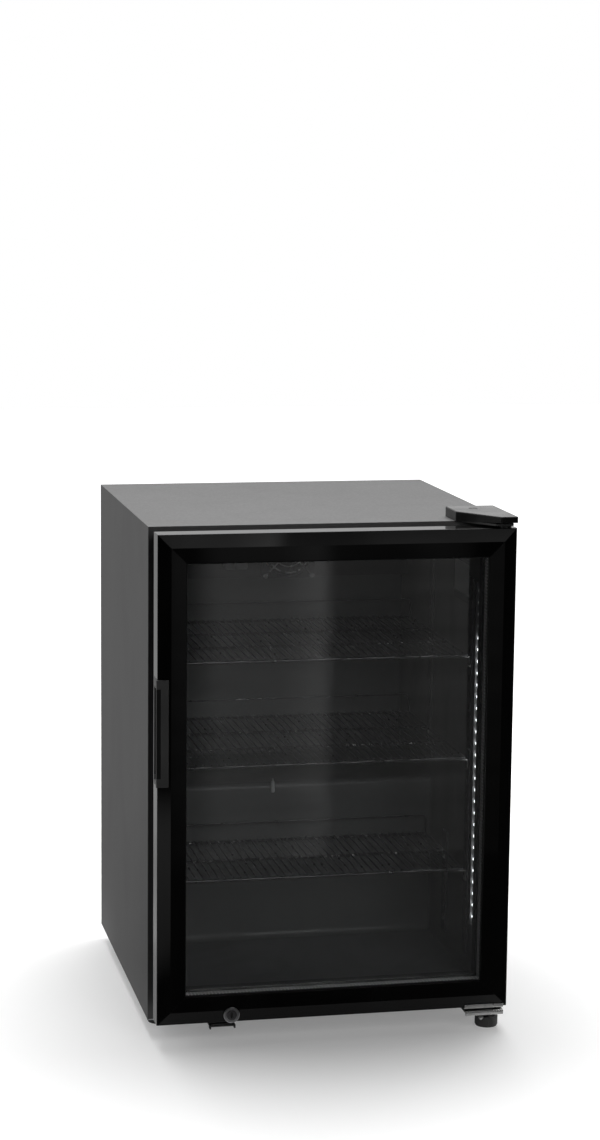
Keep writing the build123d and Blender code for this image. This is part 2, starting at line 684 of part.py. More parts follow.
def refrigerant_pipes():
    """The suction pipe, the discharge pipe and the filter drier: three separate pieces."""
    suction = wall_pipe() - compressor()
    stub_x = COMPRESSOR_X - COMPRESSOR_RADIUS * 0.6
    top = BAY_FLOOR + COIL_PITCH * (CONDENSER_PASSES - 0.5)
    reach = CONDENSER_LENGTH / 2 + COIL_PITCH / 2
    inlet = (CONDENSER_X, CONDENSER_Y - reach, top)
    front_y = CONDENSER_Y - reach - 2 * PIPE_BEND
    high = top + 30
    discharge = pipe([inlet, (CONDENSER_X, front_y, top), (CONDENSER_X, front_y, high),
                      (stub_x, front_y, high), (stub_x, front_y, high - 50),
                      (stub_x, COMPRESSOR_Y, high - 50)], PIPE_RADIUS, PIPE_BEND - 1)
    discharge -= compressor()
    low = BAY_FLOOR + COIL_PITCH / 2
    drier_y = CONDENSER_Y - reach - 2 * PIPE_BEND
    start = (CONDENSER_X, CONDENSER_Y - reach, low)
    lead = pipe([start, (CONDENSER_X, drier_y, low), (CONDENSER_X, drier_y, low + 30)],
                PIPE_RADIUS, PIPE_BEND - 1)
    drier = rod_z(CONDENSER_X, drier_y, DRIER_RADIUS, (low + 28, low + 28 + DRIER_LENGTH))
    drier = fillet(drier.edges().filter_by(GeomType.CIRCLE), DRIER_RADIUS * 0.45)
    return [suction, discharge, lead + drier]


# ---------------------------------------------------------------- shelves
def shelf(height, depth):
    """A wire shelf: thick bars across and at the sides, thin wires on top and a raised back stop."""
    half = CABIN_HALF - SHELF_SIDE_GAP - BAR_RADIUS
    bar_z = BODY_BOTTOM + height - 2 * WIRE_RADIUS + WELD_SINK - BAR_RADIUS
    wire_z = BODY_BOTTOM + height - WIRE_RADIUS
    back = SHELF_FRONT + depth
    bars = round(depth / BAR_PITCH)
    frame = [rod_y(side * half, bar_z, BAR_RADIUS, (SHELF_FRONT, back)) for side in (-1, 1)]
    for index in range(bars + 1):
        y = SHELF_FRONT + depth * index / bars
        frame.append(rod_x(y, bar_z, BAR_RADIUS, (-half, half)))
    wires = int((half - WIRE_PITCH) / WIRE_PITCH)
    for index in range(-wires, wires + 1):
        frame.append(rod_y(index * WIRE_PITCH, wire_z, WIRE_RADIUS, (SHELF_FRONT, back)))
    top = bar_z + STOP_HEIGHT
    stop = pipe([(-half, back, bar_z), (-half, back, top), (half, back, top), (half, back, bar_z)],
                WIRE_RADIUS, STOP_BEND)
    corners = [Pos(x, y, bar_z) * Sphere(BAR_RADIUS) for x in (-half, half) for y in (SHELF_FRONT, back)]
    return Part() + frame + corners + stop


def shelf_rest_level(height):
    """The underside of a shelf's bars."""
    return BODY_BOTTOM + height - 2 * WIRE_RADIUS + WELD_SINK - 2 * BAR_RADIUS


def pilaster_rows():
    """Each upright's y, its bottom and its top."""
    top = CABIN_TOP - 45
    return [(FRONT_PILASTER_Y, CABIN_FLOOR + 25, top),
            (REAR_PILASTER_Y, STEP_TOP + 25, top - 5),
            (LOW_PILASTER_Y, CABIN_FLOOR + 25, STEP_TOP - 60)]


def clip_places():
    """(y, shelf height) for each clip on one side wall."""
    places = []
    for name, height in SHELF_HEIGHTS.items():
        rear = LOW_PILASTER_Y if name == "lower_shelf" else REAR_PILASTER_Y
        places += [(FRONT_PILASTER_Y, height), (rear, height)]
    return places


def pilasters():
    """Slotted uprights on both side walls. The slots step down from each clip's own slot."""
    strips = []
    for y, bottom, top in pilaster_rows():
        strip = block((CABIN_HALF - PILASTER_THICKNESS, CABIN_HALF),
                      (y - PILASTER_WIDTH / 2, y + PILASTER_WIDTH / 2), (bottom, top))
        levels = [clip_slot_middle(height) for clip_y, height in clip_places() if clip_y == y]
        free = bottom + PILASTER_PITCH
        while free < top - PILASTER_PITCH / 2:
            if all(abs(free - level) > PILASTER_SLOT_HEIGHT + 3 for level in levels):
                levels.append(free)
            free += PILASTER_PITCH
        for level in levels:
            strip -= block((CABIN_HALF - PILASTER_THICKNESS - 1, CABIN_HALF + 1),
                           (y - PILASTER_SLOT / 2, y + PILASTER_SLOT / 2),
                           (level - PILASTER_SLOT_HEIGHT / 2, level + PILASTER_SLOT_HEIGHT / 2))
        strips += [strip, mirror(strip, about=Plane.YZ)]
    return strips


def clip_slot_middle(height):
    return shelf_rest_level(height) - FIT_GAP - CLIP_HEIGHT / 2


def shelf_clips():
    """Bent clips: a plate on the upright, a tongue in its slot and an arm under the shelf."""
    clips = []
    face = CABIN_HALF - PILASTER_THICKNESS
    for y, height in clip_places():
        top = shelf_rest_level(height) - FIT_GAP
        plate = block((face - CLIP_SHEET, face), (y - CLIP_WIDTH / 2, y + CLIP_WIDTH / 2),
                      (top - CLIP_HEIGHT, top))
        arm = block((face - CLIP_SHEET - CLIP_ARM, face), (y - CLIP_WIDTH / 2, y + CLIP_WIDTH / 2),
                    (top - CLIP_SHEET, top))
        middle = clip_slot_middle(height)
        tongue = block((face - 0.5, CABIN_HALF - FIT_GAP),
                       (y - PILASTER_SLOT / 2 + FIT_GAP, y + PILASTER_SLOT / 2 - FIT_GAP),
                       (middle - PILASTER_SLOT_HEIGHT / 2 + FIT_GAP, middle + PILASTER_SLOT_HEIGHT / 4))
        clip = plate + arm + tongue
        clips += [clip, mirror(clip, about=Plane.YZ)]
    return clips


# ---------------------------------------------------------------- light
def led_strip():
    """The tape on the floor of its recess, and its chips."""
    top = LED_BOTTOM + LED_PITCH * (LED_COUNT - 1)
    face = LED_BACK_X - LED_TAPE
    pieces = [block((face, LED_BACK_X), (LED_Y - LED_TAPE_WIDTH / 2, LED_Y + LED_TAPE_WIDTH / 2),
                    (LED_BOTTOM - LED_MARGIN + 2, top + LED_MARGIN - 2))]
    for index in range(LED_COUNT):
        z = LED_BOTTOM + index * LED_PITCH
        pieces.append(block((face - LED_CHIP_HEIGHT, face),
                            (LED_Y - LED_CHIP / 2, LED_Y + LED_CHIP / 2),
                            (z - LED_CHIP / 2, z + LED_CHIP / 2)))
    return pieces


# ---------------------------------------------------------------- hinges
def hinge_screw_places():
    x = HINGE_X - 4
    return [(x, HINGE_PLATE_BACK - 10), (x, HINGE_PLATE_BACK - 34)]


def cover_plan():
    """The cap's outline from above: straight beside the cabinet's edge, slanting to a blunt tip."""
    right = WIDTH / 2 - COVER_SIDE_INSET
    left = right - COVER_WIDTH
    return [(left, COVER_BACK), (right, COVER_BACK), (right, -COVER_REACH),
            (right - COVER_TIP_WIDTH, -COVER_REACH), (left, -COVER_SHOULDER)]


def cover_inside(gap, z):
    """The space inside the cap's walls, `gap` clear of them."""
    face = make_face(Polyline(*cover_plan(), close=True))
    inner = offset(face, amount=-COVER_WALL - gap, kind=Kind.INTERSECTION)
    return Pos(0, 0, z[0]) * extrude(inner, amount=z[1] - z[0], dir=(0, 0, 1))


def top_hinge_plate():
    z = (BODY_TOP, BODY_TOP + HINGE_PLATE)
    plate = cover_inside(FIT_GAP, z)
    plate &= block((0, WIDTH), (HINGE_Y - HINGE_PLATE_NOSE, HINGE_PLATE_BACK), z)
    plate = fillet(plate.edges().filter_by(Axis.Z), 3)
    for x, y in hinge_screw_places():
        plate -= rod_z(x, y, SCREW_RADIUS, (0, BODY_TOP + 10))
    return plate - rod_z(HINGE_X, HINGE_Y, PIN_RADIUS, (0, BODY_TOP + 10))


def hinge_screws():
    """Pan-head screws of the top plate and of the lower bracket."""
    screws = []
    for x, y in hinge_screw_places():
        z = BODY_TOP + HINGE_PLATE
        head = rod_z(x, y, SCREW_HEAD_RADIUS, (z, z + SCREW_HEAD))
        screws.append(head + rod_z(x, y, SCREW_RADIUS - TURN_GAP, (BODY_TOP - SHEET, z + 1)))
    for x, y in bracket_screw_places():
        z = BODY_BOTTOM - BRACKET_PLATE
        head = rod_z(x, y, SCREW_HEAD_RADIUS, (z - SCREW_HEAD, z))
        screws.append(head + rod_z(x, y, SCREW_RADIUS - TURN_GAP, (z - 1, BODY_BOTTOM)))
    return screws


def hinge_pins():
    """The upper pin hangs from the top plate and the lower one stands on the bracket."""
    upper = rod_z(HINGE_X, HINGE_Y, PIN_RADIUS, (DOOR_TOP - PIN_REACH, BODY_TOP + HINGE_PLATE))
    lower = rod_z(HINGE_X, HINGE_Y, PIN_RADIUS,
                  (BRACKET_TOP - BRACKET_PLATE, DOOR_BOTTOM + PIN_REACH))
    return [upper, lower]


def hinge_bushes():
    """Flanged bushes in the door's top and bottom rails."""
    top_flange = (DOOR_TOP, BODY_TOP - HINGE_AXIAL_GAP)
    upper = rod_z(HINGE_X, HINGE_Y, BUSH_FLANGE_RADIUS, top_flange)
    upper += rod_z(HINGE_X, HINGE_Y, BUSH_RADIUS, (DOOR_TOP - PIN_REACH - 1, DOOR_TOP + 1))
    low_flange = (SHOE_BOTTOM - BUSH_FLANGE, SHOE_BOTTOM)
    lower = rod_z(HINGE_X, HINGE_Y, BUSH_FLANGE_RADIUS, low_flange)
    lower += rod_z(HINGE_X, HINGE_Y, BUSH_RADIUS, (SHOE_BOTTOM - 1, DOOR_BOTTOM + PIN_REACH + 1))
    bore = rod_z(HINGE_X, HINGE_Y, PIN_RADIUS + TURN_GAP, (0, 2 * BODY_TOP))
    return [upper - bore, lower - bore]


def hinge_cover():
    """The moulded cap over the top hinge: a pointed wedge whose tip stands clear of the door."""
    top = BODY_TOP + COVER_HEIGHT
    cap = prism_z(cover_plan(), (BODY_TOP, top))
    cap = fillet(cap.edges().filter_by(Axis.Z), 3)
    cap = fillet(cap.faces().sort_by(Axis.Z)[-1].edges(), 1.5)
    cap -= cover_inside(0, (BODY_TOP - 1, top - COVER_WALL))
    slope = [(0, BODY_TOP - 1), (0, BODY_TOP), (-COVER_REACH - 1, BODY_TOP + COVER_TIP_RISE),
             (-COVER_REACH - 1, BODY_TOP - 1)]
    cap -= prism_x(slope, (0, WIDTH))
    x, y = cover_screw_place()
    boss = rod_z(x, y, COVER_SCREW_RADIUS + COVER_WALL, (BODY_TOP + HINGE_PLATE, top - 1))
    cap += boss
    cap -= rod_z(x, y, COVER_SCREW_RADIUS + TURN_GAP, (top - COVER_PLUG, top + 1))
    return cap


def cover_screw_place():
    return WIDTH / 2 - COVER_SIDE_INSET - COVER_WIDTH / 2 - 3, COVER_BACK - 30


def hinge_cover_plug():
    """The round plug over the screw in the cap."""
    x, y = cover_screw_place()
    top = BODY_TOP + COVER_HEIGHT
    plug = rod_z(x, y, COVER_SCREW_RADIUS, (top - COVER_PLUG, top - 0.4))
    return chamfer(plug.edges().sort_by(Axis.Z)[-1], 0.5)


def bracket_x():
    right = WIDTH / 2 - BRACKET_INSET
    return right - BRACKET_WIDTH, right


def bracket_screw_places():
    x0, x1 = bracket_x()
    return [(x0 + 12, BRACKET_LEG - 14), (x1 - 12, BRACKET_LEG - 14)]


def lower_hinge_bracket():
    """A stepped plate from under the cabinet to under the door, with its front edge turned down."""
    low = BODY_BOTTOM - BRACKET_PLATE
    under = BRACKET_TOP - BRACKET_PLATE
    outline = [(-BRACKET_FRONT, BRACKET_TOP - BRACKET_LIP_DROP), (-BRACKET_FRONT, BRACKET_TOP),
               (-3, BRACKET_TOP), (-3, BODY_BOTTOM), (BRACKET_LEG, BODY_BOTTOM), (BRACKET_LEG, low),
               (-3 - BRACKET_PLATE, low), (-3 - BRACKET_PLATE, under),
               (-BRACKET_FRONT + BRACKET_PLATE, under),
               (-BRACKET_FRONT + BRACKET_PLATE, BRACKET_TOP - BRACKET_LIP_DROP)]
    bracket = prism_x(outline, bracket_x())
    front_edge = bracket.edges().filter_by(Axis.X).group_by(Axis.Y)[0].sort_by(Axis.Z)[-1]
    bracket = fillet(front_edge, 2.5)
    bracket -= rod_z(HINGE_X, HINGE_Y, PIN_RADIUS, (0, DOOR_BOTTOM))
    bracket -= rod_z(FOOT_X, -BRACKET_FOOT_FORWARD, FOOT_STUD_RADIUS + TURN_GAP, (0, DOOR_BOTTOM))
    for x, y in bracket_screw_places():
        bracket -= rod_z(x, y, SCREW_RADIUS, (0, DOOR_BOTTOM))
    return bracket


# ---------------------------------------------------------------- feet
def foot(x, y, stud_top):
    """A ribbed round foot with a dished top and its stud, standing on the floor."""
    outline = Circle(FOOT_RADIUS)
    for index in range(FOOT_RIBS):
        angle = 2 * math.pi * index / FOOT_RIBS
        outline -= Pos(FOOT_RADIUS * math.cos(angle), FOOT_RADIUS * math.sin(angle)) * Circle(FOOT_GROOVE)
    body = Pos(0, 0, 2) * extrude(outline, amount=FOOT_BODY - 2)
    body += rod_z(0, 0, FOOT_RADIUS - 1, (0, 2))
    body -= rod_z(0, 0, FOOT_RADIUS - FOOT_RIM, (FOOT_BODY - FOOT_DISH, FOOT_BODY + 1))
    return Pos(x, y, 0) * (body + rod_z(0, 0, FOOT_STUD_RADIUS, (1, stud_top)))


def stud_top():
    return BAY_FLOOR + INSERT_HEIGHT - 1


# ---------------------------------------------------------------- door
def rail_front(inset):
    """How far in front of the door's back the rail's outer slope stands, `inset` from the edge."""
    share = min(inset / RAIL_CREST, 1)
    return RAIL_EDGE_DEPTH + (RAIL_DEPTH - RAIL_EDGE_DEPTH) * share


def rail(length):
    """A mitred rail along x with its outer edge at z = 0, hollow, with the groove for the glass."""
    groove_front = GROOVE_BACK + 2 * PANE + PANE_SPACE + 2 * FIT_GAP
    section = [(0, 0), (0, RAIL_EDGE_DEPTH), (RAIL_CREST, RAIL_DEPTH), (RAIL_WIDTH, RAIL_LIP_DEPTH),
               (RAIL_WIDTH, groove_front), (GROOVE_INSET, groove_front), (GROOVE_INSET, GROOVE_BACK),
               (RAIL_WIDTH, GROOVE_BACK), (RAIL_WIDTH, 0)]
    bar = prism_x([(DOOR_BACK - v, u) for u, v in section], (-length / 2, length / 2))
    long_edges = bar.edges().filter_by(Axis.X)
    outer_front = long_edges.sort_by(lambda e: (e.center().Z, e.center().Y))[0]
    lip_front = long_edges.sort_by(lambda e: (-e.center().Z, e.center().Y))[0]
    bar = fillet([outer_front, lip_front], 1.2)
    chamber = block((-length, length),
                    (DOOR_BACK - RAIL_WALL - RAIL_CHAMBER_DEPTH, DOOR_BACK - RAIL_WALL),
                    (RAIL_WALL, RAIL_WALL + RAIL_CHAMBER_WIDTH))
    half = length / 2
    mitre = [(-half, 0), (half, 0), (half - RAIL_WIDTH, RAIL_WIDTH), (-half + RAIL_WIDTH, RAIL_WIDTH)]
    face = make_face(Plane.XZ * Polyline(*mitre, close=True))
    wedge = Pos(0, 100, 0) * extrude(face, amount=200, dir=(0, -1, 0))
    return (bar - chamber) & wedge


def bush_hole():
    return rod_z(HINGE_X, HINGE_Y, BUSH_RADIUS + TURN_GAP, (0, 2 * BODY_TOP))


def door_top_rail():
    return Pos(0, 0, DOOR_TOP) * Rot(0, 180, 0) * rail(DOOR_WIDTH) - bush_hole()


def door_bottom_rail():
    bar = Pos(0, 0, DOOR_BOTTOM) * rail(DOOR_WIDTH)
    return bar - bush_hole() - lock_space() - cam_slot()


def handle_space(grow):
    """The room that the handle's body takes in the left stile."""
    left = -DOOR_WIDTH / 2
    back = DOOR_BACK - HANDLE_BACK_WALL
    face = DOOR_BACK - RAIL_DEPTH - HANDLE_FACE_PROUD
    z = (HANDLE_CENTRE + BODY_BOTTOM - HANDLE_HEIGHT / 2, HANDLE_CENTRE + BODY_BOTTOM + HANDLE_HEIGHT / 2)
    return (left, left + HANDLE_DEPTH + grow), (face, back + grow), (z[0] - grow, z[1] + grow)


def door_left_stile():
    stile = Pos(-DOOR_WIDTH / 2, 0, DOOR_MIDDLE) * Rot(0, 90, 0) * rail(DOOR_HEIGHT)
    x, y, z = handle_space(FIT_GAP)
    return stile - block((x[0] - 1, x[1]), (y[0] - 1, y[1]), z)


def door_right_stile():
    stile = Pos(DOOR_WIDTH / 2, 0, DOOR_MIDDLE) * Rot(0, -90, 0) * rail(DOOR_HEIGHT)
    return stile - bush_hole()


def door_handle():
    """A moulded grip let into the stile: a finger recess open to the side behind a front lip."""
    x, y, z = handle_space(0)
    body = block(x, y, z)
    body += block((x[0] - HANDLE_PROUD, x[0] + HANDLE_FACE_WIDTH), (y[0], y[0] + HANDLE_LIP), z)
    body = fillet(body.edges().filter_by(Axis.Z).group_by(Axis.Y)[0], 1.2)
    recess = block((x[0] - HANDLE_PROUD - 1, x[1] - HANDLE_WALL),
                   (y[0] + HANDLE_LIP, y[1] - HANDLE_WALL), (z[0] + HANDLE_FOOT, z[1] - HANDLE_CAP))
    return body - recess


def pane(back):
    """A glass pane whose rear face stands `back` in front of the door's back."""
    half = DOOR_WIDTH / 2 - PANE_INSET
    front = DOOR_BACK - back - PANE
    return block((-half, half), (front, front + PANE), (DOOR_BOTTOM + PANE_INSET, DOOR_TOP - PANE_INSET))


def pane_spacer():
    """The bar between the panes and the sealant behind it, run round as one frame."""
    back = DOOR_BACK - GROOVE_BACK - FIT_GAP - PANE
    width = SPACER_INSET + SPACER_HEIGHT - PANE_INSET
    return picture_frame(PANE_INSET, width, (back - PANE_SPACE, back))


def door_back_frame():
    """The moulded frame on the door's back that carries the gasket."""
    return picture_frame(BACK_FRAME_INSET, RAIL_WIDTH - BACK_FRAME_INSET,
                         (DOOR_BACK, DOOR_BACK + BACK_FRAME_DEPTH))


def door_gasket():
    """The magnetic seal: a root on the back frame, a narrower bellows and a flat sealing head."""
    root = DOOR_BACK + BACK_FRAME_DEPTH
    head = -GASKET_GAP
    third = (head - root) / 3
    seal = picture_frame(GASKET_INSET, GASKET_WIDTH, (root, root + third))
    neck_width = GASKET_WIDTH - 2 * GASKET_NECK
    seal += picture_frame(GASKET_INSET + GASKET_NECK, neck_width, (root + third, root + 2 * third))
    return seal + picture_frame(GASKET_INSET, GASKET_WIDTH, (root + 2 * third, head))


def door_shoe():
    """The steel plate under the hinge corner of the door, with a lip up its front."""
    right = WIDTH / 2 - BRACKET_INSET + 1
    x = (right - SHOE_WIDTH, right)
    lip_back = DOOR_BACK - rail_front(SHOE_LIP_HEIGHT) - TURN_GAP
    lip_front = lip_back - SHOE_LIP
    plate = block(x, (lip_front, lip_front + SHOE_DEPTH), (SHOE_BOTTOM, DOOR_BOTTOM))
    plate += block(x, (lip_front, lip_back), (SHOE_BOTTOM, DOOR_BOTTOM + SHOE_LIP_HEIGHT))
    bend = plate.edges().filter_by(Axis.X).group_by(Axis.Z)[0].sort_by(Axis.Y)[0]
    return fillet(bend, SHOE_SHEET * 0.95) - bush_hole()


# ---------------------------------------------------------------- lock
def lock_front():
    return DOOR_BACK - RAIL_DEPTH - LOCK_PROUD


def lock_z():
    return DOOR_BOTTOM + LOCK_HEIGHT


def lock_seat():
    """Where the bezel's back sits, on the rail's sloping front."""
    return DOOR_BACK - rail_front(0)


def lock_space():
    """The holes in the bottom rail that the lock's bezel and sleeve fill."""
    bezel = rod_y(LOCK_X, lock_z(), LOCK_BEZEL_RADIUS + TURN_GAP, (lock_front() - 5, lock_seat()))
    back = lock_seat() + LOCK_LENGTH + CAM_GAP + CAM_SHEET
    sleeve = rod_y(LOCK_X, lock_z(), LOCK_SLEEVE_RADIUS + TURN_GAP, (lock_front(), back))
    return bezel + sleeve


def lock_housing():
    bezel = rod_y(LOCK_X, lock_z(), LOCK_BEZEL_RADIUS, (lock_front() + 1, lock_seat()))
    bezel = fillet(bezel.edges().sort_by(Axis.Y)[0], 1)
    sleeve = rod_y(LOCK_X, lock_z(), LOCK_SLEEVE_RADIUS, (lock_seat() - 1, lock_seat() + LOCK_LENGTH))
    bore = rod_y(LOCK_X, lock_z(), LOCK_BARREL_RADIUS + TURN_GAP, (-200, 0))
    return bezel + sleeve - bore


def cam_y():
    start = lock_seat() + LOCK_LENGTH + CAM_GAP
    return start, start + CAM_SHEET


def lock_barrel():
    """The turning plug with its key slot, and the tail that carries the cam."""
    barrel = rod_y(LOCK_X, lock_z(), LOCK_BARREL_RADIUS, (lock_front(), cam_y()[0]))
    barrel = fillet(barrel.edges().sort_by(Axis.Y)[0], 0.6)
    barrel += rod_y(LOCK_X, lock_z(), TAIL_RADIUS, (cam_y()[0] - 1, cam_y()[1]))
    width, depth, height = KEY_SLOT
    slot = block((LOCK_X - width / 2, LOCK_X + width / 2), (lock_front() - 1, lock_front() + depth),
                 (lock_z() - height / 2, lock_z() + height / 2))
    return barrel - slot


def lock_cam():
    """A flat cam that lies along the rail when open and points down when locked."""
    z = lock_z()
    cam = block((LOCK_X - CAM_LENGTH, LOCK_X), cam_y(), (z - CAM_WIDTH / 2, z + CAM_WIDTH / 2))
    cam += rod_y(LOCK_X, z, CAM_WIDTH / 2 + 1, cam_y())
    return cam - rod_y(LOCK_X, z, TAIL_RADIUS + TURN_GAP, (-200, 0))


def cam_slot_y():
    return cam_y()[0] - 1, cam_y()[1] + 1


def cam_slot():
    """The slot in the rail's underside that the cam swings down through."""
    return block((LOCK_X - CAM_LENGTH - 2, LOCK_X + CAM_WIDTH / 2 + 2), cam_slot_y(),
                 (DOOR_BOTTOM - 1, DOOR_BOTTOM + RAIL_WALL + 1))


def lock_strike():
    """The slotted plate under the cabinet that the cam drops into, with two small side tabs."""
    drop = lock_z() - BODY_BOTTOM
    reach = math.hypot(CAM_LENGTH, CAM_WIDTH / 2)
    half_slot = math.sqrt(reach ** 2 - drop ** 2) + 1
    right = LOCK_X + CAM_WIDTH / 2 + 6
    x = (right - STRIKE_WIDTH, right)
    front = cam_slot_y()[0] - 3
    z = (BODY_BOTTOM - STRIKE_SHEET, BODY_BOTTOM)
    plate = block(x, (front, STRIKE_LEG), z)
    for edge in (x[0], x[1] - STRIKE_SHEET):
        plate += block((edge, edge + STRIKE_SHEET), (front, front + 8), (z[0] - STRIKE_TAB, z[1]))
    slot = block((LOCK_X - half_slot, LOCK_X + CAM_WIDTH / 2 + 1), cam_slot_y(), (z[0] - 10, z[1] + 1))
    return plate - slot


# ---------------------------------------------------------------- all the nodes
def nodes():
    """Every node's name with its solid or its list of separate solids."""
    fan = Pos(FAN_X, FAN_FRONT, FAN_Z)
    bay_fan = bay_fan_place()
    coil = Pos(0, COIL_Y, COIL_BOTTOM)
    upper, middle, lower = SHELF_HEIGHTS.values()
    yield "side_panels", side_panels()
    yield "top_panel", top_panel()
    yield "rear_panel", rear_panel()
    yield "base_plate", base_plate()
    yield "front_frame", front_frame()
    yield "foam_insulation", foam_insulation()
    yield "inner_liner", inner_liner()
    yield "compressor_bulkhead", compressor_bulkhead()
    yield "rear_grille", rear_grille()
    yield "cable_gland", cable_gland()
    yield "foot_inserts", foot_inserts()
    yield "evaporator_cover", evaporator_cover()
    yield "evaporator_fins", [coil * fin for fin in coil_fins(COIL_LENGTH, COIL_PASSES, COIL_DEPTH)]
    yield "evaporator_tube", coil * coil_tube(COIL_LENGTH, COIL_PASSES)
    yield "evaporator_fan_housing", fan * fan_housing(FAN_SIZE, FAN_SCREW_PITCH)
    yield "evaporator_fan_rotor", fan * fan_rotor(FAN_SIZE)
    yield "fan_guard", fan_guard()
    yield "thermostat_body", thermostat_body()
    yield "thermostat_knob", thermostat_knob()
    yield "drain_tray", drain_tray()
    yield "compressor", compressor()
    yield "compressor_grommets", compressor_grommets()
    yield "terminal_cover", terminal_cover()
    fins = coil_fins(CONDENSER_LENGTH, CONDENSER_PASSES, COIL_DEPTH)
    yield "condenser_fins", [on_bay_floor(fin) for fin in fins]
    yield "condenser_tube", on_bay_floor(coil_tube(CONDENSER_LENGTH, CONDENSER_PASSES))
    yield "condenser_fan_housing", bay_fan * fan_housing(BAY_FAN_SIZE, BAY_FAN_SCREW_PITCH)
    yield "condenser_fan_rotor", bay_fan * fan_rotor(BAY_FAN_SIZE)
    yield "refrigerant_pipes", refrigerant_pipes()
    yield "pilasters", pilasters()
    yield "shelf_clips", shelf_clips()
    yield "upper_shelf", shelf(upper, DEEP_SHELF_DEPTH)
    yield "middle_shelf", shelf(middle, DEEP_SHELF_DEPTH)
    yield "lower_shelf", shelf(lower, SHALLOW_SHELF_DEPTH)
    yield "led_strip", led_strip()
    yield "top_hinge_plate", top_hinge_plate()
    yield "hinge_screws", hinge_screws()
    yield "hinge_pins", hinge_pins()
    yield "hinge_cover", hinge_cover()
    yield "hinge_cover_plug", hinge_cover_plug()
    yield "lower_hinge_bracket", lower_hinge_bracket()
    yield "front_right_foot", foot(FOOT_X, -BRACKET_FOOT_FORWARD, BRACKET_TOP - 0.5)
    yield "front_left_foot", foot(-FOOT_X, FRONT_LEFT_FOOT_BACK, stud_top())
    yield "rear_left_foot", foot(-FOOT_X, REAR_FOOT_BACK, stud_top())
    yield "rear_right_foot", foot(FOOT_X, REAR_FOOT_BACK, stud_top())
    yield "lock_strike", lock_strike()
    yield "door_top_rail", door_top_rail()
    yield "door_bottom_rail", door_bottom_rail()
    yield "door_left_stile", door_left_stile()
    yield "door_right_stile", door_right_stile()
    yield "inner_pane", pane(GROOVE_BACK + FIT_GAP)
    yield "outer_pane", pane(GROOVE_BACK + FIT_GAP + PANE + PANE_SPACE)
    yield "pane_spacer", pane_spacer()
    yield "door_back_frame", door_back_frame()
    yield "door_gasket", door_gasket()
    yield "door_handle", door_handle()
    yield "door_shoe", door_shoe()
    yield "hinge_bushes", hinge_bushes()
    yield "lock_housing", lock_housing()
    yield "lock_barrel", lock_barrel()
    yield "lock_cam", lock_cam()


os.makedirs("parts", exist_ok=True)
for name, shape in nodes():
    solids = []
    for piece in shape if isinstance(shape, list) else [shape]:
        solids += piece.solids()
    placed = Pos(0, CENTRING_SHIFT, 0) * Compound(children=solids)
    export_step(placed, f"parts/{name}.step")
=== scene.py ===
import math

import bmesh
import bpy
from mathutils import Matrix, Vector


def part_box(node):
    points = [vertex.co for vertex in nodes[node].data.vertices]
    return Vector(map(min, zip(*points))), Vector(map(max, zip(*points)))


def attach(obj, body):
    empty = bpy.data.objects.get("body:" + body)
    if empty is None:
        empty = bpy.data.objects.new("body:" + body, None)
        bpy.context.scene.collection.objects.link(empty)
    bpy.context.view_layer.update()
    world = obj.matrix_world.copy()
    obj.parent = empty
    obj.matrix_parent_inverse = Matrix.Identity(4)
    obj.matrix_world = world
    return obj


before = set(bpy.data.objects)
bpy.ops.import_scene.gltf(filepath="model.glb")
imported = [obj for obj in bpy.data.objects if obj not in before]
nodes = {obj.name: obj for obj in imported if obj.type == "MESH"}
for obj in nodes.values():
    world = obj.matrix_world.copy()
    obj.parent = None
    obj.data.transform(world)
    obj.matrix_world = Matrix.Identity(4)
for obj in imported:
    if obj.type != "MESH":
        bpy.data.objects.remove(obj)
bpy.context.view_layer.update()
scene = bpy.context.scene
MM = 0.001
TAPE_FADE = (0.538, 0.553)       # heights between which the lighting tape's glow dies away
LABEL_CENTRE = (-0.1075, 0.615)  # y and z of the label's middle on the right wall
LABEL_BANDS = (0.595, 0.640)     # the label's dark bands lie below the first height and above the second


# ------------------------------------------------------------------ node tools
def put(tree, kind, **values):
    """Adds a node. Names of its own settings are set as such; all others are input sockets."""
    node = tree.nodes.new(kind)
    for key, value in values.items():
        if hasattr(node, key):
            setattr(node, key, value)
        else:
            socket = key.replace("_", " ")
            if isinstance(value, bpy.types.NodeSocket):
                tree.links.new(value, node.inputs[socket])
            else:
                node.inputs[socket].default_value = value
    return node


def feed(tree, node, index, value):
    """Joins a socket to, or sets a number on, an input that is known by its place."""
    if isinstance(value, bpy.types.NodeSocket):
        tree.links.new(value, node.inputs[index])
    else:
        node.inputs[index].default_value = value


def sum_of(tree, operation, first, second=0.0, third=0.0, clamp=False):
    """The result of one arithmetic operation on sockets or numbers."""
    node = put(tree, "ShaderNodeMath", operation=operation, use_clamp=clamp)
    for index, value in enumerate((first, second, third)):
        feed(tree, node, index, value)
    return node.outputs[0]


def remap(tree, value, low, high, new_low, new_high):
    """Value from low..high to new_low..new_high, clamped."""
    node = put(tree, "ShaderNodeMapRange", clamp=True)
    for index, number in enumerate((value, low, high, new_low, new_high)):
        feed(tree, node, index, number)
    return node.outputs[0]


def blend_colours(tree, mask, first, second):
    """First colour where the mask is 0, second where it is 1."""
    node = put(tree, "ShaderNodeMix", data_type="RGBA")
    feed(tree, node, 0, mask)
    for index, colour in ((6, first), (7, second)):
        feed(tree, node, index, colour if isinstance(colour, bpy.types.NodeSocket) else shade(colour))
    return node.outputs[2]


def shade(colour):
    """A grey level or an (r, g, b) as a full colour."""
    if isinstance(colour, (int, float)):
        return (colour, colour, colour, 1.0)
    return (*colour, 1.0)


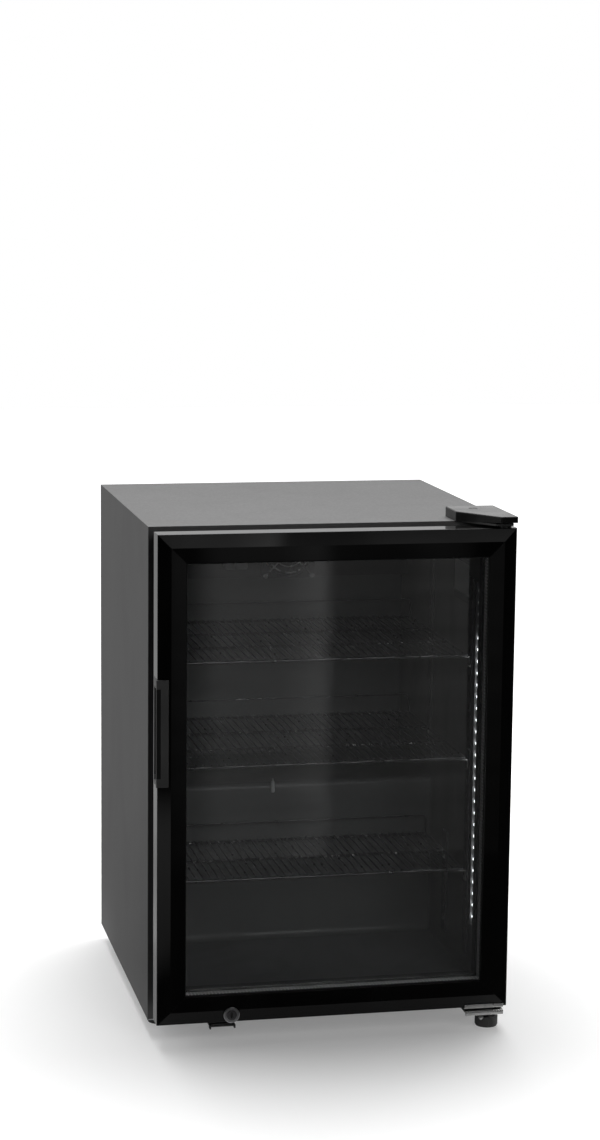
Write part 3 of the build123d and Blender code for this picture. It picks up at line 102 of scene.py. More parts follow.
def effect(name, inputs, outputs):
    """An empty shader node group with these named number inputs and outputs."""
    group = bpy.data.node_groups.new(name, "ShaderNodeTree")
    for socket, value in inputs.items():
        made = group.interface.new_socket(socket, in_out="INPUT", socket_type="NodeSocketFloat")
        made.default_value = value
    for socket, kind in outputs.items():
        group.interface.new_socket(socket, in_out="OUTPUT", socket_type=kind)
    return group, group.nodes.new("NodeGroupInput"), group.nodes.new("NodeGroupOutput")


def own_place(tree, stretch=(1, 1, 1)):
    """The point on the piece, in its body's own frame, stretched along each axis."""
    place = put(tree, "ShaderNodeTexCoord")
    return put(tree, "ShaderNodeMapping", Vector=place.outputs["Object"], Scale=stretch).outputs[0]


def own_axes(tree):
    """X, Y and Z of the point on the piece, in its body's own frame."""
    place = put(tree, "ShaderNodeTexCoord")
    return put(tree, "ShaderNodeSeparateXYZ", Vector=place.outputs["Object"]).outputs


def room_place(tree):
    """The point in the room, wherever its piece has moved."""
    return put(tree, "ShaderNodeNewGeometry").outputs["Position"]


# ------------------------------------------------------------------ shared effects
def make_fine_grain():
    """Close surface texture of powder coat or moulded plastic."""
    group, given, made = effect("Fine Grain", {"Scale": 900.0, "Patches": 9.0},
                                {"Height": "NodeSocketFloat", "Tone": "NodeSocketFloat"})
    place = own_place(group)
    close = put(group, "ShaderNodeTexNoise", Vector=place, Scale=given.outputs["Scale"], Detail=3.0)
    broad = put(group, "ShaderNodeTexNoise", Vector=place, Scale=given.outputs["Patches"], Detail=2.0)
    group.links.new(close.outputs["Fac"], made.inputs["Height"])
    group.links.new(remap(group, broad.outputs["Fac"], 0.3, 0.7, 0.0, 1.0), made.inputs["Tone"])
    return group


def make_soft_edges():
    """Rounds hard edges in the shading, and marks them for wear."""
    group, given, made = effect("Soft Edges", {"Radius": 0.0005},
                                {"Normal": "NodeSocketVector", "Edge": "NodeSocketFloat"})
    rounded = put(group, "ShaderNodeBevel", samples=4, Radius=given.outputs["Radius"])
    flat = put(group, "ShaderNodeNewGeometry")
    turn = put(group, "ShaderNodeVectorMath", operation="DOT_PRODUCT")
    group.links.new(rounded.outputs[0], turn.inputs[0])
    group.links.new(flat.outputs["Normal"], turn.inputs[1])
    edge = remap(group, turn.outputs["Value"], 0.98, 0.80, 0.0, 1.0)
    group.links.new(rounded.outputs[0], made.inputs["Normal"])
    group.links.new(edge, made.inputs["Edge"])
    return group


def make_handling_marks():
    """Faint wiped smears and dull patches that hands and cloths leave."""
    group, given, made = effect("Handling Marks", {"Scale": 14.0, "Amount": 0.5},
                                {"Mask": "NodeSocketFloat"})
    place = own_place(group, (1.0, 1.0, 0.35))
    smear = put(group, "ShaderNodeTexNoise", Vector=place, Scale=given.outputs["Scale"],
                Detail=5.0, Distortion=1.4)
    mask = remap(group, smear.outputs["Fac"], 0.48, 0.72, 0.0, 1.0)
    group.links.new(sum_of(group, "MULTIPLY", mask, given.outputs["Amount"]), made.inputs["Mask"])
    return group


def make_hairlines():
    """Fine straight lines of drawn, rolled or brushed metal, along the piece's own z."""
    group, given, made = effect("Hairlines", {"Scale": 300.0},
                                {"Height": "NodeSocketFloat", "Tone": "NodeSocketFloat"})
    place = own_place(group, (1.0, 1.0, 0.02))
    lines = put(group, "ShaderNodeTexNoise", Vector=place, Scale=given.outputs["Scale"], Detail=2.0)
    group.links.new(lines.outputs["Fac"], made.inputs["Height"])
    group.links.new(remap(group, lines.outputs["Fac"], 0.35, 0.65, 0.0, 1.0), made.inputs["Tone"])
    return group


def make_zinc_crystals():
    """The leafy pattern of a zinc coat."""
    group, given, made = effect("Zinc Crystals", {"Scale": 90.0},
                                {"Tone": "NodeSocketFloat", "Height": "NodeSocketFloat"})
    leaf = put(group, "ShaderNodeTexVoronoi", Vector=own_place(group), Scale=given.outputs["Scale"],
               Randomness=1.0)
    split = put(group, "ShaderNodeSeparateColor", Color=leaf.outputs["Color"])
    group.links.new(split.outputs[0], made.inputs["Tone"])
    group.links.new(leaf.outputs["Distance"], made.inputs["Height"])
    return group


def make_settled_dust():
    """Dust on faces that look up."""
    group, given, made = effect("Settled Dust", {"Amount": 0.3}, {"Mask": "NodeSocketFloat"})
    surface = put(group, "ShaderNodeNewGeometry")
    normal = put(group, "ShaderNodeSeparateXYZ", Vector=surface.outputs["Normal"])
    specks = put(group, "ShaderNodeTexNoise", Vector=own_place(group), Scale=260.0, Detail=4.0)
    up = remap(group, normal.outputs["Z"], 0.5, 1.0, 0.0, 1.0)
    spread = remap(group, specks.outputs["Fac"], 0.4, 0.7, 0.2, 1.0)
    dust = sum_of(group, "MULTIPLY", up, spread)
    group.links.new(sum_of(group, "MULTIPLY", dust, given.outputs["Amount"]), made.inputs["Mask"])
    return group


FINE_GRAIN = make_fine_grain()
SOFT_EDGES = make_soft_edges()
HANDLING_MARKS = make_handling_marks()
HAIRLINES = make_hairlines()
ZINC_CRYSTALS = make_zinc_crystals()
SETTLED_DUST = make_settled_dust()


class Finish:
    """One material: its Principled shader, and short ways to add effects to it."""

    def __init__(self, name, colour, roughness, **shader_values):
        self.material = bpy.data.materials.new(name)
        self.material.use_nodes = True
        self.tree = self.material.node_tree
        self.shader = self.tree.nodes["Principled BSDF"]
        self.material.diffuse_color = shade(colour)
        self.set("Base Color", shade(colour))
        self.set("Roughness", roughness)
        for key, value in shader_values.items():
            self.set(key.replace("_", " "), value)

    def set(self, socket, value):
        if isinstance(value, bpy.types.NodeSocket):
            self.tree.links.new(value, self.shader.inputs[socket])
        else:
            self.shader.inputs[socket].default_value = value

    def use(self, group, **values):
        node = self.tree.nodes.new("ShaderNodeGroup")
        node.node_tree = group
        for key, value in values.items():
            node.inputs[key].default_value = value
        return node.outputs

    def colours(self, mask, first, second):
        return blend_colours(self.tree, mask, first, second)

    def roughness_between(self, mask, low, high):
        self.set("Roughness", remap(self.tree, mask, 0.0, 1.0, low, high))

    def bump(self, height, depth, strength=0.5, normal=None):
        node = put(self.tree, "ShaderNodeBump", Height=height, Distance=depth, Strength=strength)
        if normal is not None:
            self.tree.links.new(normal, node.inputs["Normal"])
        self.set("Normal", node.outputs[0])

    def cover(self, *names):
        """Puts this finish on CAD nodes."""
        for name in names:
            nodes[name].data.materials.clear()
            nodes[name].data.materials.append(self.material)


# ------------------------------------------------------------------ finishes
def powder_coat(name, colour, low, high, grain_scale=1500.0, depth=0.00004):
    """Satin powder coat: fine orange peel, wiped patches, light edges and a little dust."""
    coat = Finish(name, colour, low, IOR=1.5)
    grain = coat.use(FINE_GRAIN, Scale=grain_scale)
    edges = coat.use(SOFT_EDGES, Radius=0.8 * MM)
    marks = coat.use(HANDLING_MARKS, Scale=7.0, Amount=0.25)
    dust = coat.use(SETTLED_DUST, Amount=0.10)
    toned = coat.colours(grain["Tone"], colour * 0.93, colour * 1.07)
    worn = coat.colours(edges["Edge"], toned, colour * 1.35)
    coat.set("Base Color", coat.colours(dust["Mask"], worn, 0.35))
    coat.roughness_between(marks["Mask"], low, high)
    coat.bump(grain["Height"], depth, 0.6, edges["Normal"])
    return coat


def moulded_plastic(name, colour, roughness, grain_scale, depth, edge=0.4, bend=1.48):
    """Moulded plastic with an etched grain and edges that catch the light."""
    plastic = Finish(name, colour, roughness, IOR=bend)
    grain = plastic.use(FINE_GRAIN, Scale=grain_scale, Patches=20.0)
    edges = plastic.use(SOFT_EDGES, Radius=edge * MM)
    dust = plastic.use(SETTLED_DUST, Amount=0.12)
    toned = plastic.colours(grain["Tone"], colour * 0.85, colour * 1.15)
    plastic.set("Base Color", plastic.colours(dust["Mask"], toned, 0.25))
    plastic.roughness_between(grain["Tone"], roughness - 0.05, roughness + 0.07)
    plastic.bump(grain["Height"], depth, 0.5, edges["Normal"])
    return plastic


def drawn_metal(name, colour, roughness, line_scale, tarnish):
    """Bare metal with drawing lines, and patches dulled to this share of its colour."""
    metal = Finish(name, colour, roughness, Metallic=1.0)
    lines = metal.use(HAIRLINES, Scale=line_scale)
    marks = metal.use(HANDLING_MARKS, Scale=40.0, Amount=1.0)
    edges = metal.use(SOFT_EDGES, Radius=0.3 * MM)
    dull = tuple(channel * tarnish for channel in colour)
    metal.set("Base Color", metal.colours(marks["Mask"], colour, dull))
    metal.roughness_between(lines["Tone"], roughness - 0.06, roughness + 0.10)
    metal.bump(lines["Height"], 0.00002, 0.4, edges["Normal"])
    return metal


def plated_steel(name, colour, roughness):
    """Smooth zinc plating on pressed steel: soft changes of tone, dull marks and rounded edges."""
    plate = Finish(name, colour, roughness, Metallic=1.0)
    grain = plate.use(FINE_GRAIN, Scale=160.0, Patches=45.0)
    marks = plate.use(HANDLING_MARKS, Scale=60.0, Amount=0.8)
    edges = plate.use(SOFT_EDGES, Radius=0.7 * MM)
    dark = tuple(channel * 0.75 for channel in colour)
    plate.set("Base Color", plate.colours(marks["Mask"], colour, dark))
    plate.roughness_between(grain["Tone"], roughness - 0.05, roughness + 0.07)
    plate.bump(grain["Height"], 0.00001, 0.2, edges["Normal"])
    return plate


def zinc_coated(name, colour, roughness, leaf_scale):
    """Zinc-coated steel sheet: leafy crystals of different brightness."""
    zinc = Finish(name, colour, roughness, Metallic=1.0)
    leaf = zinc.use(ZINC_CRYSTALS, Scale=leaf_scale)
    edges = zinc.use(SOFT_EDGES, Radius=0.4 * MM)
    dust = zinc.use(SETTLED_DUST, Amount=0.2)
    dark = tuple(channel * 0.78 for channel in colour)
    toned = zinc.colours(leaf["Tone"], dark, colour)
    zinc.set("Base Color", zinc.colours(dust["Mask"], toned, 0.45))
    zinc.roughness_between(leaf["Tone"], roughness - 0.08, roughness + 0.12)
    zinc.bump(leaf["Height"], 0.00002, 0.3, edges["Normal"])
    return zinc


def door_profile_black():
    """Glossy black door profile: slightly rippled, with faint wipe marks."""
    gloss = Finish("gloss_black_profile", 0.003, 0.12, IOR=1.22)
    marks = gloss.use(HANDLING_MARKS, Scale=11.0, Amount=0.8)
    edges = gloss.use(SOFT_EDGES, Radius=0.6 * MM)
    ripple = gloss.use(FINE_GRAIN, Scale=24.0, Patches=6.0)
    gloss.set("Base Color", gloss.colours(marks["Mask"], 0.002, 0.004))
    gloss.roughness_between(marks["Mask"], 0.07, 0.17)
    gloss.bump(ripple["Height"], 0.00012, 0.25, edges["Normal"])
    return gloss


def handle_plastic():
    """Matt handle moulding, a little lighter than the door, with pale worn edges.

    The side that fingers reach into is painted black between the two end caps: painted shade in the finger
    pocket.
    """
    low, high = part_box("door_handle")
    pocket_shade_width, cap = 6.0 * MM, 12.0 * MM
    handle = Finish("handle_plastic", 0.060, 0.55, IOR=1.35)
    tree = handle.tree
    axes = own_axes(tree)
    grain = handle.use(FINE_GRAIN, Scale=1200.0, Patches=18.0)
    edges = handle.use(SOFT_EDGES, Radius=0.5 * MM)
    marks = handle.use(HANDLING_MARKS, Scale=30.0, Amount=0.7)
    # The finger pocket side between the end caps is masked for painted shade.
    beside = sum_of(tree, "LESS_THAN", axes["X"], low.x + pocket_shade_width)
    above = sum_of(tree, "GREATER_THAN", axes["Z"], low.z + cap)
    below = sum_of(tree, "LESS_THAN", axes["Z"], high.z - cap)
    pocket_shade = sum_of(tree, "MULTIPLY", beside, sum_of(tree, "MULTIPLY", above, below))
    toned = handle.colours(grain["Tone"], 0.055, 0.072)
    worn = handle.colours(edges["Edge"], toned, 0.16)
    # Painted shade: the finger pocket side is painted near black.
    handle.set("Base Color", handle.colours(pocket_shade, worn, 0.001))
    handle.roughness_between(marks["Mask"], 0.52, 0.40)
    handle.bump(grain["Height"], 0.00004, 0.5, edges["Normal"])
    return handle


def clear_pane():
    """Float glass that lets light and shadow through, with faint streaks from wiping."""
    pane = Finish("clear_pane", (0.95, 0.955, 0.955), 0.0, IOR=1.5, Transmission_Weight=1.0)
    marks = pane.use(HANDLING_MARKS, Scale=9.0, Amount=0.6)
    pane.roughness_between(marks["Mask"], 0.0, 0.035)
    tree = pane.tree
    rays = put(tree, "ShaderNodeLightPath")
    passing = sum_of(tree, "MAXIMUM", rays.outputs["Is Shadow Ray"], rays.outputs["Is Diffuse Ray"])
    through = put(tree, "ShaderNodeBsdfTransparent", Color=(0.89, 0.90, 0.90, 1.0))
    either = put(tree, "ShaderNodeMixShader")
    feed(tree, either, 0, passing)
    feed(tree, either, 1, pane.shader.outputs[0])
    feed(tree, either, 2, through.outputs[0])
    tree.links.new(either.outputs[0], tree.nodes["Material Output"].inputs["Surface"])
    return pane


def punched_spacer():
    """Dark spacer bar between the panes, with rows of small bright breathing holes all round."""
    bar = Finish("punched_spacer", (0.16, 0.16, 0.165), 0.4, Metallic=0.4)
    pitch = 4.8 * MM
    tree = bar.tree
    axes = own_axes(tree)
    waves = [sum_of(tree, "SINE", sum_of(tree, "MULTIPLY", axes[axis], 2 * math.pi / pitch))
             for axis in ("X", "Y", "Z")]
    across = sum_of(tree, "MULTIPLY", waves[0], waves[1])
    upright = sum_of(tree, "MULTIPLY", waves[2], waves[1])
    dots = sum_of(tree, "MAXIMUM", across, upright)
    hole = remap(tree, dots, 0.35, 0.55, 0.0, 1.0)
    lines = bar.use(HAIRLINES, Scale=500.0)
    metal = bar.colours(lines["Tone"], (0.22, 0.22, 0.225), (0.32, 0.32, 0.325))
    bar.set("Base Color", bar.colours(hole, metal, 0.95))
    bar.set("Roughness", remap(tree, hole, 0.0, 1.0, 0.5, 0.3))
    bar.bump(sum_of(tree, "SUBTRACT", 1.0, hole), 0.0003, 0.8)
    return bar


def cabin_lining():
    """Dark lining sheet of the cabin with a faint embossed grain."""
    lining = Finish("cabin_lining", 0.125, 0.42, IOR=1.5)
    grain = lining.use(FINE_GRAIN, Scale=420.0, Patches=5.0)
    marks = lining.use(HANDLING_MARKS, Scale=5.0, Amount=0.9)
    lining.set("Base Color", lining.colours(grain["Tone"], 0.118, 0.142))
    lining.roughness_between(marks["Mask"], 0.34, 0.52)
    lining.bump(grain["Height"], 0.00008, 0.5)
    return lining


def rigid_foam():
    """Cut and skinned insulation foam with small cells."""
    foam = Finish("rigid_foam", (0.80, 0.70, 0.45), 0.9)
    cells = put(foam.tree, "ShaderNodeTexVoronoi", Vector=own_place(foam.tree), Scale=420.0)
    grain = foam.use(FINE_GRAIN, Scale=120.0, Patches=15.0)
    foam.set("Base Color", foam.colours(grain["Tone"], (0.74, 0.63, 0.38), (0.86, 0.78, 0.54)))
    foam.roughness_between(grain["Height"], 0.82, 0.97)
    foam.bump(cells.outputs["Distance"], 0.0008, 0.6)
    return foam


def soft_rubber(name, colour, roughness):
    """Dull rubber that holds dust."""
    rubber = Finish(name, colour, roughness, IOR=1.5)
    grain = rubber.use(FINE_GRAIN, Scale=800.0, Patches=30.0)
    dust = rubber.use(SETTLED_DUST, Amount=0.35)
    toned = rubber.colours(grain["Tone"], colour * 0.8, colour * 1.3)
    rubber.set("Base Color", rubber.colours(dust["Mask"], toned, 0.16))
    rubber.roughness_between(grain["Tone"], roughness - 0.06, roughness + 0.08)
    rubber.bump(grain["Height"], 0.00006, 0.6)
    return rubber


def lit_tape():
    """White lighting tape whose chips glow, and glow less towards its top end."""
    wall_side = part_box("led_strip")[1].x
    tape = Finish("lit_tape", 0.75, 0.35, IOR=1.5)
    tree = tape.tree
    axes = own_axes(tree)
    on_chip = remap(tree, axes["X"], wall_side - 2.2 * MM, wall_side - 1.4 * MM, 1.0, 0.0)
    fade = remap(tree, axes["Z"], *TAPE_FADE, 1.0, 0.03)
    grain = tape.use(FINE_GRAIN, Scale=600.0)
    tape.set("Base Color", tape.colours(grain["Tone"], 0.22, 0.30))
    tape.roughness_between(grain["Tone"], 0.3, 0.5)
    tape.bump(grain["Height"], 0.00003)
    glow = tape.colours(sum_of(tree, "MULTIPLY", on_chip, fade), 0.0, (0.93, 0.96, 1.0))
    tape.set("Emission Color", glow)
    tape.set("Emission Strength", 6.0)
    return tape


def pressed_fins():
    """Thin aluminium fins, pale and slightly uneven."""
    fins = Finish("pressed_fins", (0.72, 0.73, 0.74), 0.35, Metallic=1.0)
    lines = fins.use(HAIRLINES, Scale=220.0)
    dust = fins.use(SETTLED_DUST, Amount=0.5)
    toned = fins.colours(lines["Tone"], (0.62, 0.63, 0.64), (0.78, 0.79, 0.80))
    fins.set("Base Color", fins.colours(dust["Mask"], toned, 0.3))
    fins.roughness_between(lines["Tone"], 0.28, 0.46)
    fins.bump(lines["Height"], 0.00003)
    return fins


def shelf_plating():
    """Plated wire, its colour darkened as painted shade for the dim cabin it reflects: smooth, with slow
    changes of tone.
    """
    plating = Finish("shelf_plating", (0.10, 0.10, 0.102), 0.32, Metallic=0.9)
    grain = plating.use(FINE_GRAIN, Scale=300.0, Patches=60.0)
    # Painted shade: the plating colour is kept very dark for the dim cabin it reflects.
    plating.set("Base Color", plating.colours(grain["Tone"], (0.08, 0.08, 0.082), (0.12, 0.12, 0.122)))
    plating.roughness_between(grain["Tone"], 0.26, 0.40)
    plating.bump(grain["Height"], 0.00002, 0.3)
    return plating


def turned_lock_metal(name, colour, roughness):
    """Lock metal with fine turning marks round its keyhole."""
    low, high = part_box("lock_housing")
    centre = (low + high) / 2
    ring_waves = 14000.0
    chrome = Finish(name, colour, roughness, Metallic=1.0)
    tree = chrome.tree
    moved = put(tree, "ShaderNodeVectorMath", operation="SUBTRACT")
    feed(tree, moved, 0, put(tree, "ShaderNodeTexCoord").outputs["Object"])
    moved.inputs[1].default_value = (centre.x, 0.0, centre.z)
    flat = put(tree, "ShaderNodeVectorMath", operation="MULTIPLY")
    feed(tree, flat, 0, moved.outputs[0])
    flat.inputs[1].default_value = (1.0, 0.0, 1.0)
    radius = put(tree, "ShaderNodeVectorMath", operation="LENGTH")
    feed(tree, radius, 0, flat.outputs[0])
    rings = sum_of(tree, "SINE", sum_of(tree, "MULTIPLY", radius.outputs["Value"], ring_waves))
    marks = chrome.use(HANDLING_MARKS, Scale=120.0, Amount=1.0)
    edges = chrome.use(SOFT_EDGES, Radius=0.4 * MM)
    dull = tuple(channel * 0.6 for channel in colour)
    chrome.set("Base Color", chrome.colours(marks["Mask"], colour, dull))
    chrome.roughness_between(marks["Mask"], roughness, roughness + 0.16)
    chrome.bump(rings, 0.000012, 0.4, edges["Normal"])
    return chrome


def knob_plastic():
    """Light grey moulding with paler edges."""
    knob = Finish("knob_plastic", 0.20, 0.4, IOR=1.48)
    grain = knob.use(FINE_GRAIN, Scale=1000.0, Patches=30.0)
    edges = knob.use(SOFT_EDGES, Radius=0.4 * MM)
    toned = knob.colours(grain["Tone"], 0.18, 0.23)
    knob.set("Base Color", knob.colours(edges["Edge"], toned, 0.30))
    knob.roughness_between(grain["Tone"], 0.36, 0.5)
    knob.bump(grain["Height"], 0.00004, 0.5, edges["Normal"])
    return knob


def blank_label():
    """A plain printed label: a pale sheet with two flat bands and no marks on it."""
    label = Finish("blank_label", 0.5, 0.5, IOR=1.45)
    tree = label.tree
    height = own_axes(tree)["Z"]
    grain = label.use(FINE_GRAIN, Scale=500.0, Patches=25.0)
    paper = label.colours(grain["Tone"], 0.76, 0.86)
    lower = sum_of(tree, "LESS_THAN", height, LABEL_BANDS[0])
    upper = sum_of(tree, "GREATER_THAN", height, LABEL_BANDS[1])
    printed = label.colours(sum_of(tree, "MAXIMUM", lower, upper), paper, 0.10)
    label.set("Base Color", printed)
    label.roughness_between(grain["Tone"], 0.42, 0.6)
    label.bump(grain["Height"], 0.00003)
    return label


side_paint = powder_coat("cabinet_powder_coat", 0.052, 0.60, 0.72)
panel_paint = powder_coat("inner_panel_coat", 0.075, 0.38, 0.52, 1300.0)
galvanised = zinc_coated("galvanised_sheet", (0.60, 0.61, 0.62), 0.42, 70.0)
bright_zinc = plated_steel("bright_zinc", (0.50, 0.50, 0.495), 0.26)
moulded_black = moulded_plastic("moulded_black", 0.014, 0.40, 1100.0, 0.00004)
handle_black = handle_plastic()
probe_white = moulded_plastic("probe_white", 0.75, 0.36, 900.0, 0.00002)
cap_black = moulded_plastic("cap_black", 0.008, 0.18, 1300.0, 0.00002, 0.6, 1.22)
fan_black = moulded_plastic("fan_black", 0.030, 0.38, 1500.0, 0.00003, 0.25)
foot_nylon = moulded_plastic("foot_nylon", 0.040, 0.50, 900.0, 0.00006)
copper = drawn_metal("drawn_copper", (0.80, 0.45, 0.30), 0.26, 400.0, 0.55)
black_enamel = powder_coat("compressor_enamel", 0.018, 0.20, 0.34, 500.0, 0.0001)
dark_steel = powder_coat("black_passivated_steel", 0.022, 0.32, 0.48, 1800.0, 0.00002)
door_black = door_profile_black()
glass = clear_pane()
spacer = punched_spacer()
lining = cabin_lining()
foam = rigid_foam()
gasket_rubber = soft_rubber("gasket_rubber", 0.016, 0.60)
tape = lit_tape()
fins = pressed_fins()
wire_plating = shelf_plating()
bezel_chrome = turned_lock_metal("bezel_chrome", (0.40, 0.40, 0.41), 0.30)
barrel_metal = turned_lock_metal("barrel_metal", (0.12, 0.12, 0.124), 0.38)
grey_knob = knob_plastic()

side_paint.cover("side_panels", "top_panel")
panel_paint.cover("front_frame", "evaporator_cover", "rear_grille", "pilasters")
galvanised.cover("rear_panel", "base_plate", "compressor_bulkhead")
bright_zinc.cover("foot_inserts", "shelf_clips", "hinge_screws", "hinge_pins", "lower_hinge_bracket",
                  "door_shoe", "lock_cam", "fan_guard")
cap_black.cover("hinge_cover")
handle_black.cover("door_handle")
moulded_black.cover("door_back_frame", "hinge_bushes", "terminal_cover", "drain_tray")
fan_black.cover("evaporator_fan_housing", "evaporator_fan_rotor", "condenser_fan_housing",
                "condenser_fan_rotor")
foot_nylon.cover("front_right_foot", "front_left_foot", "rear_left_foot", "rear_right_foot")
copper.cover("evaporator_tube", "condenser_tube", "refrigerant_pipes")
black_enamel.cover("compressor")
dark_steel.cover("top_hinge_plate", "lock_strike")
door_black.cover("door_top_rail", "door_bottom_rail", "door_left_stile", "door_right_stile")
glass.cover("inner_pane", "outer_pane")
spacer.cover("pane_spacer")
lining.cover("inner_liner")
foam.cover("foam_insulation")
gasket_rubber.cover("door_gasket", "compressor_grommets", "cable_gland", "hinge_cover_plug")
tape.cover("led_strip")
fins.cover("evaporator_fins", "condenser_fins")
wire_plating.cover("upper_shelf", "middle_shelf", "lower_shelf")
bezel_chrome.cover("lock_housing")
barrel_metal.cover("lock_barrel")
grey_knob.cover("thermostat_body", "thermostat_knob")


# ------------------------------------------------------------------ small parts
def add_part(name, mesh, finish, body):
    """A new piece that rides on a body and takes its finish from a slot."""
    part = bpy.data.objects.new(name, mesh)
    scene.collection.objects.link(part)
    mesh.materials.append(finish.material)
    mesh.set_sharp_from_angle(angle=math.radians(35))
    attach(part, body)


def turn_on_lathe(bm, profile, place, steps=20):
    """Turns (radius, height) points about the z axis of a placing matrix."""
    rings = []
    for radius, height in profile:
        if radius == 0.0:
            rings.append([bm.verts.new(place @ Vector((0, 0, height)))])
            continue
        angles = [2 * math.pi * step / steps for step in range(steps)]
        rings.append([bm.verts.new(place @ Vector((radius * math.cos(a), radius * math.sin(a), height)))
                      for a in angles])
    for low, high in zip(rings, rings[1:]):
        for step in range(steps):
            after = (step + 1) % steps
            corners = [low[step % len(low)], low[after % len(low)], high[after % len(high)],
                       high[step % len(high)]]
            face = list(dict.fromkeys(corners))
            if len(face) > 2:
                bm.faces.new(face)


def finished_mesh(name, bm, smooth=True):
    """The mesh of what was built, with its faces turned outward."""
    bmesh.ops.recalc_face_normals(bm, faces=bm.faces)
    for face in bm.faces:
        face.smooth = smooth
    mesh = bpy.data.meshes.new(name)
    bm.to_mesh(mesh)
    bm.free()
    return mesh


def facing(place, direction):
    """A placing matrix whose z axis points in the given direction."""
    turn = Vector(direction).to_track_quat("Z", "Y").to_matrix().to_4x4()
    return Matrix.Translation(place) @ turn


def add_plate(bm, place, width, height, thickness, corner):
    """A thin plate with round corners and a small chamfer, standing on the placing matrix's z = 0."""
    steps = 5

    def outline(inset, level):
        points = []
        for x_sign, y_sign, first in ((1, 1, 0), (-1, 1, 90), (-1, -1, 180), (1, -1, 270)):
            for step in range(steps + 1):
                angle = math.radians(first + 90 * step / steps)
                x = x_sign * (width / 2 - corner) + (corner - inset) * math.cos(angle)
                y = y_sign * (height / 2 - corner) + (corner - inset) * math.sin(angle)
                points.append(bm.verts.new(place @ Vector((x, y, level))))
        return points

    chamfer = thickness * 0.3
    loops = [outline(0.0, 0.0), outline(0.0, thickness - chamfer), outline(chamfer, thickness)]
    for low, high in zip(loops, loops[1:]):
        for index in range(len(low)):
            after = (index + 1) % len(low)
            bm.faces.new((low[index], low[after], high[after], high[index]))
    bm.faces.new(loops[-1])
    bm.faces.new(list(reversed(loops[0])))


def pan_head(radius, rise):
    """Outline of a pan-head screw with a round drive recess."""
    return [(radius, 0.0), (radius, rise * 0.35), (radius * 0.86, rise * 0.8), (radius * 0.55, rise),
            (radius * 0.34, rise), (radius * 0.30, rise * 0.45), (0.0, rise * 0.35)]


def add_light_lenses():
    """A clear dome over every chip of the lighting tape, which spreads its light."""
    low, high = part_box("led_strip")
    count, pitch = 29, 16.67 * MM
    first = (low.z + high.z) / 2 - pitch * (count - 1) / 2
    middle_y = (low.y + high.y) / 2
    bm = bmesh.new()
    radius, rise = 3.4 * MM, 2.6 * MM
    dome = [(radius * math.cos(a), rise * math.sin(a)) for a in (0.0, 0.3, 0.6, 0.9, 1.2)] + [(0.0, rise)]
    for number in range(count):
        place = facing((low.x, middle_y, first + number * pitch), (-1, 0, 0))
        turn_on_lathe(bm, dome, place, 16)
    add_part("light_lenses", finished_mesh("light_lenses", bm), lit_lens(), "cabinet")


def lit_lens():
    """Milky lens that glows, all but those at the strip's top end."""
    lens = Finish("lit_lens", 0.8, 0.25, IOR=1.45)
    tree = lens.tree
    fade = remap(tree, own_axes(tree)["Z"], *TAPE_FADE, 1.0, 0.03)
    grain = lens.use(FINE_GRAIN, Scale=900.0, Patches=40.0)
    lens.set("Base Color", lens.colours(grain["Tone"], 0.5, 0.6))
    lens.roughness_between(grain["Tone"], 0.2, 0.35)
    lens.bump(grain["Height"], 0.00002)
    lens.set("Emission Color", lens.colours(fade, 0.0, (0.95, 0.97, 1.0)))
    lens.set("Emission Strength", 5.0)
    return lens


def add_blank_label():
    """The label on the right wall of the cabin, with nothing printed on it but two bands."""
    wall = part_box("led_strip")[1].x - 6.0 * MM
    width, height, thickness, corner = 75 * MM, 62 * MM, 0.3 * MM, 2 * MM
    bm = bmesh.new()
    add_plate(bm, facing((wall, *LABEL_CENTRE), (-1, 0, 0)), width, height, thickness, corner)
    add_part("blank_label", finished_mesh("blank_label", bm, False), blank_label(), "cabinet")


def add_probe():
    """Temperature probe: a pale bulb that stands at the edge of the step."""
    bm = bmesh.new()
    foot = (-0.028, 0.0375, 0.2785)
    bulb = [(0.0, 0.0), (2.4 * MM, 0.8 * MM), (3.0 * MM, 2.4 * MM), (3.0 * MM, 15 * MM),
            (2.2 * MM, 17 * MM), (1.2 * MM, 18 * MM), (1.2 * MM, 21 * MM), (0.0, 21 * MM)]
    turn_on_lathe(bm, bulb, facing(foot, (0, 0, 1)))
    add_part("step_probe", finished_mesh("step_probe", bm), probe_white, "cabinet")


def add_bracket_bolt():
    """The end of the bolt that holds the lower hinge bracket, and the nut on it."""
    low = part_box("lower_hinge_bracket")[0]
    place = facing((low.x + 24 * MM, low.y + 7 * MM, low.z), (0, 0, -1))
    bm = bmesh.new()
    nut = [(0.0, 0.0), (3.3 * MM, 0.0), (3.5 * MM, 0.3 * MM), (3.5 * MM, 1.8 * MM), (3.2 * MM, 2.1 * MM),
           (0.0, 2.1 * MM)]
    turn_on_lathe(bm, nut, place, 6)
    end = [(1.9 * MM, 2.0 * MM), (1.9 * MM, 3.4 * MM), (1.5 * MM, 3.9 * MM), (0.0, 4.0 * MM)]
    turn_on_lathe(bm, end, place)
    add_part("bracket_bolt", finished_mesh("bracket_bolt", bm, False), bright_zinc, "cabinet")


def add_back_screws():
    """Pan-head screws round the grille and down the edges of the rear panel."""
    inset, rim = 9 * MM, 7 * MM
    low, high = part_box("rear_grille")
    panel_low, panel_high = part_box("rear_panel")
    spots = [(x, high.y, z) for x in (low.x + inset, 0.0, high.x - inset)
             for z in (low.z + rim, high.z - rim)]
    spots += [(x, panel_high.y, panel_high.z - drop * MM)
              for x in (panel_low.x + inset, panel_high.x - inset) for drop in (12, 130, 250, 370)]
    bm = bmesh.new()
    for spot in spots:
        turn_on_lathe(bm, pan_head(3.6 * MM, 1.9 * MM), facing(spot, (0, 1, 0)))
    add_part("back_screws", finished_mesh("back_screws", bm), bright_zinc, "cabinet")


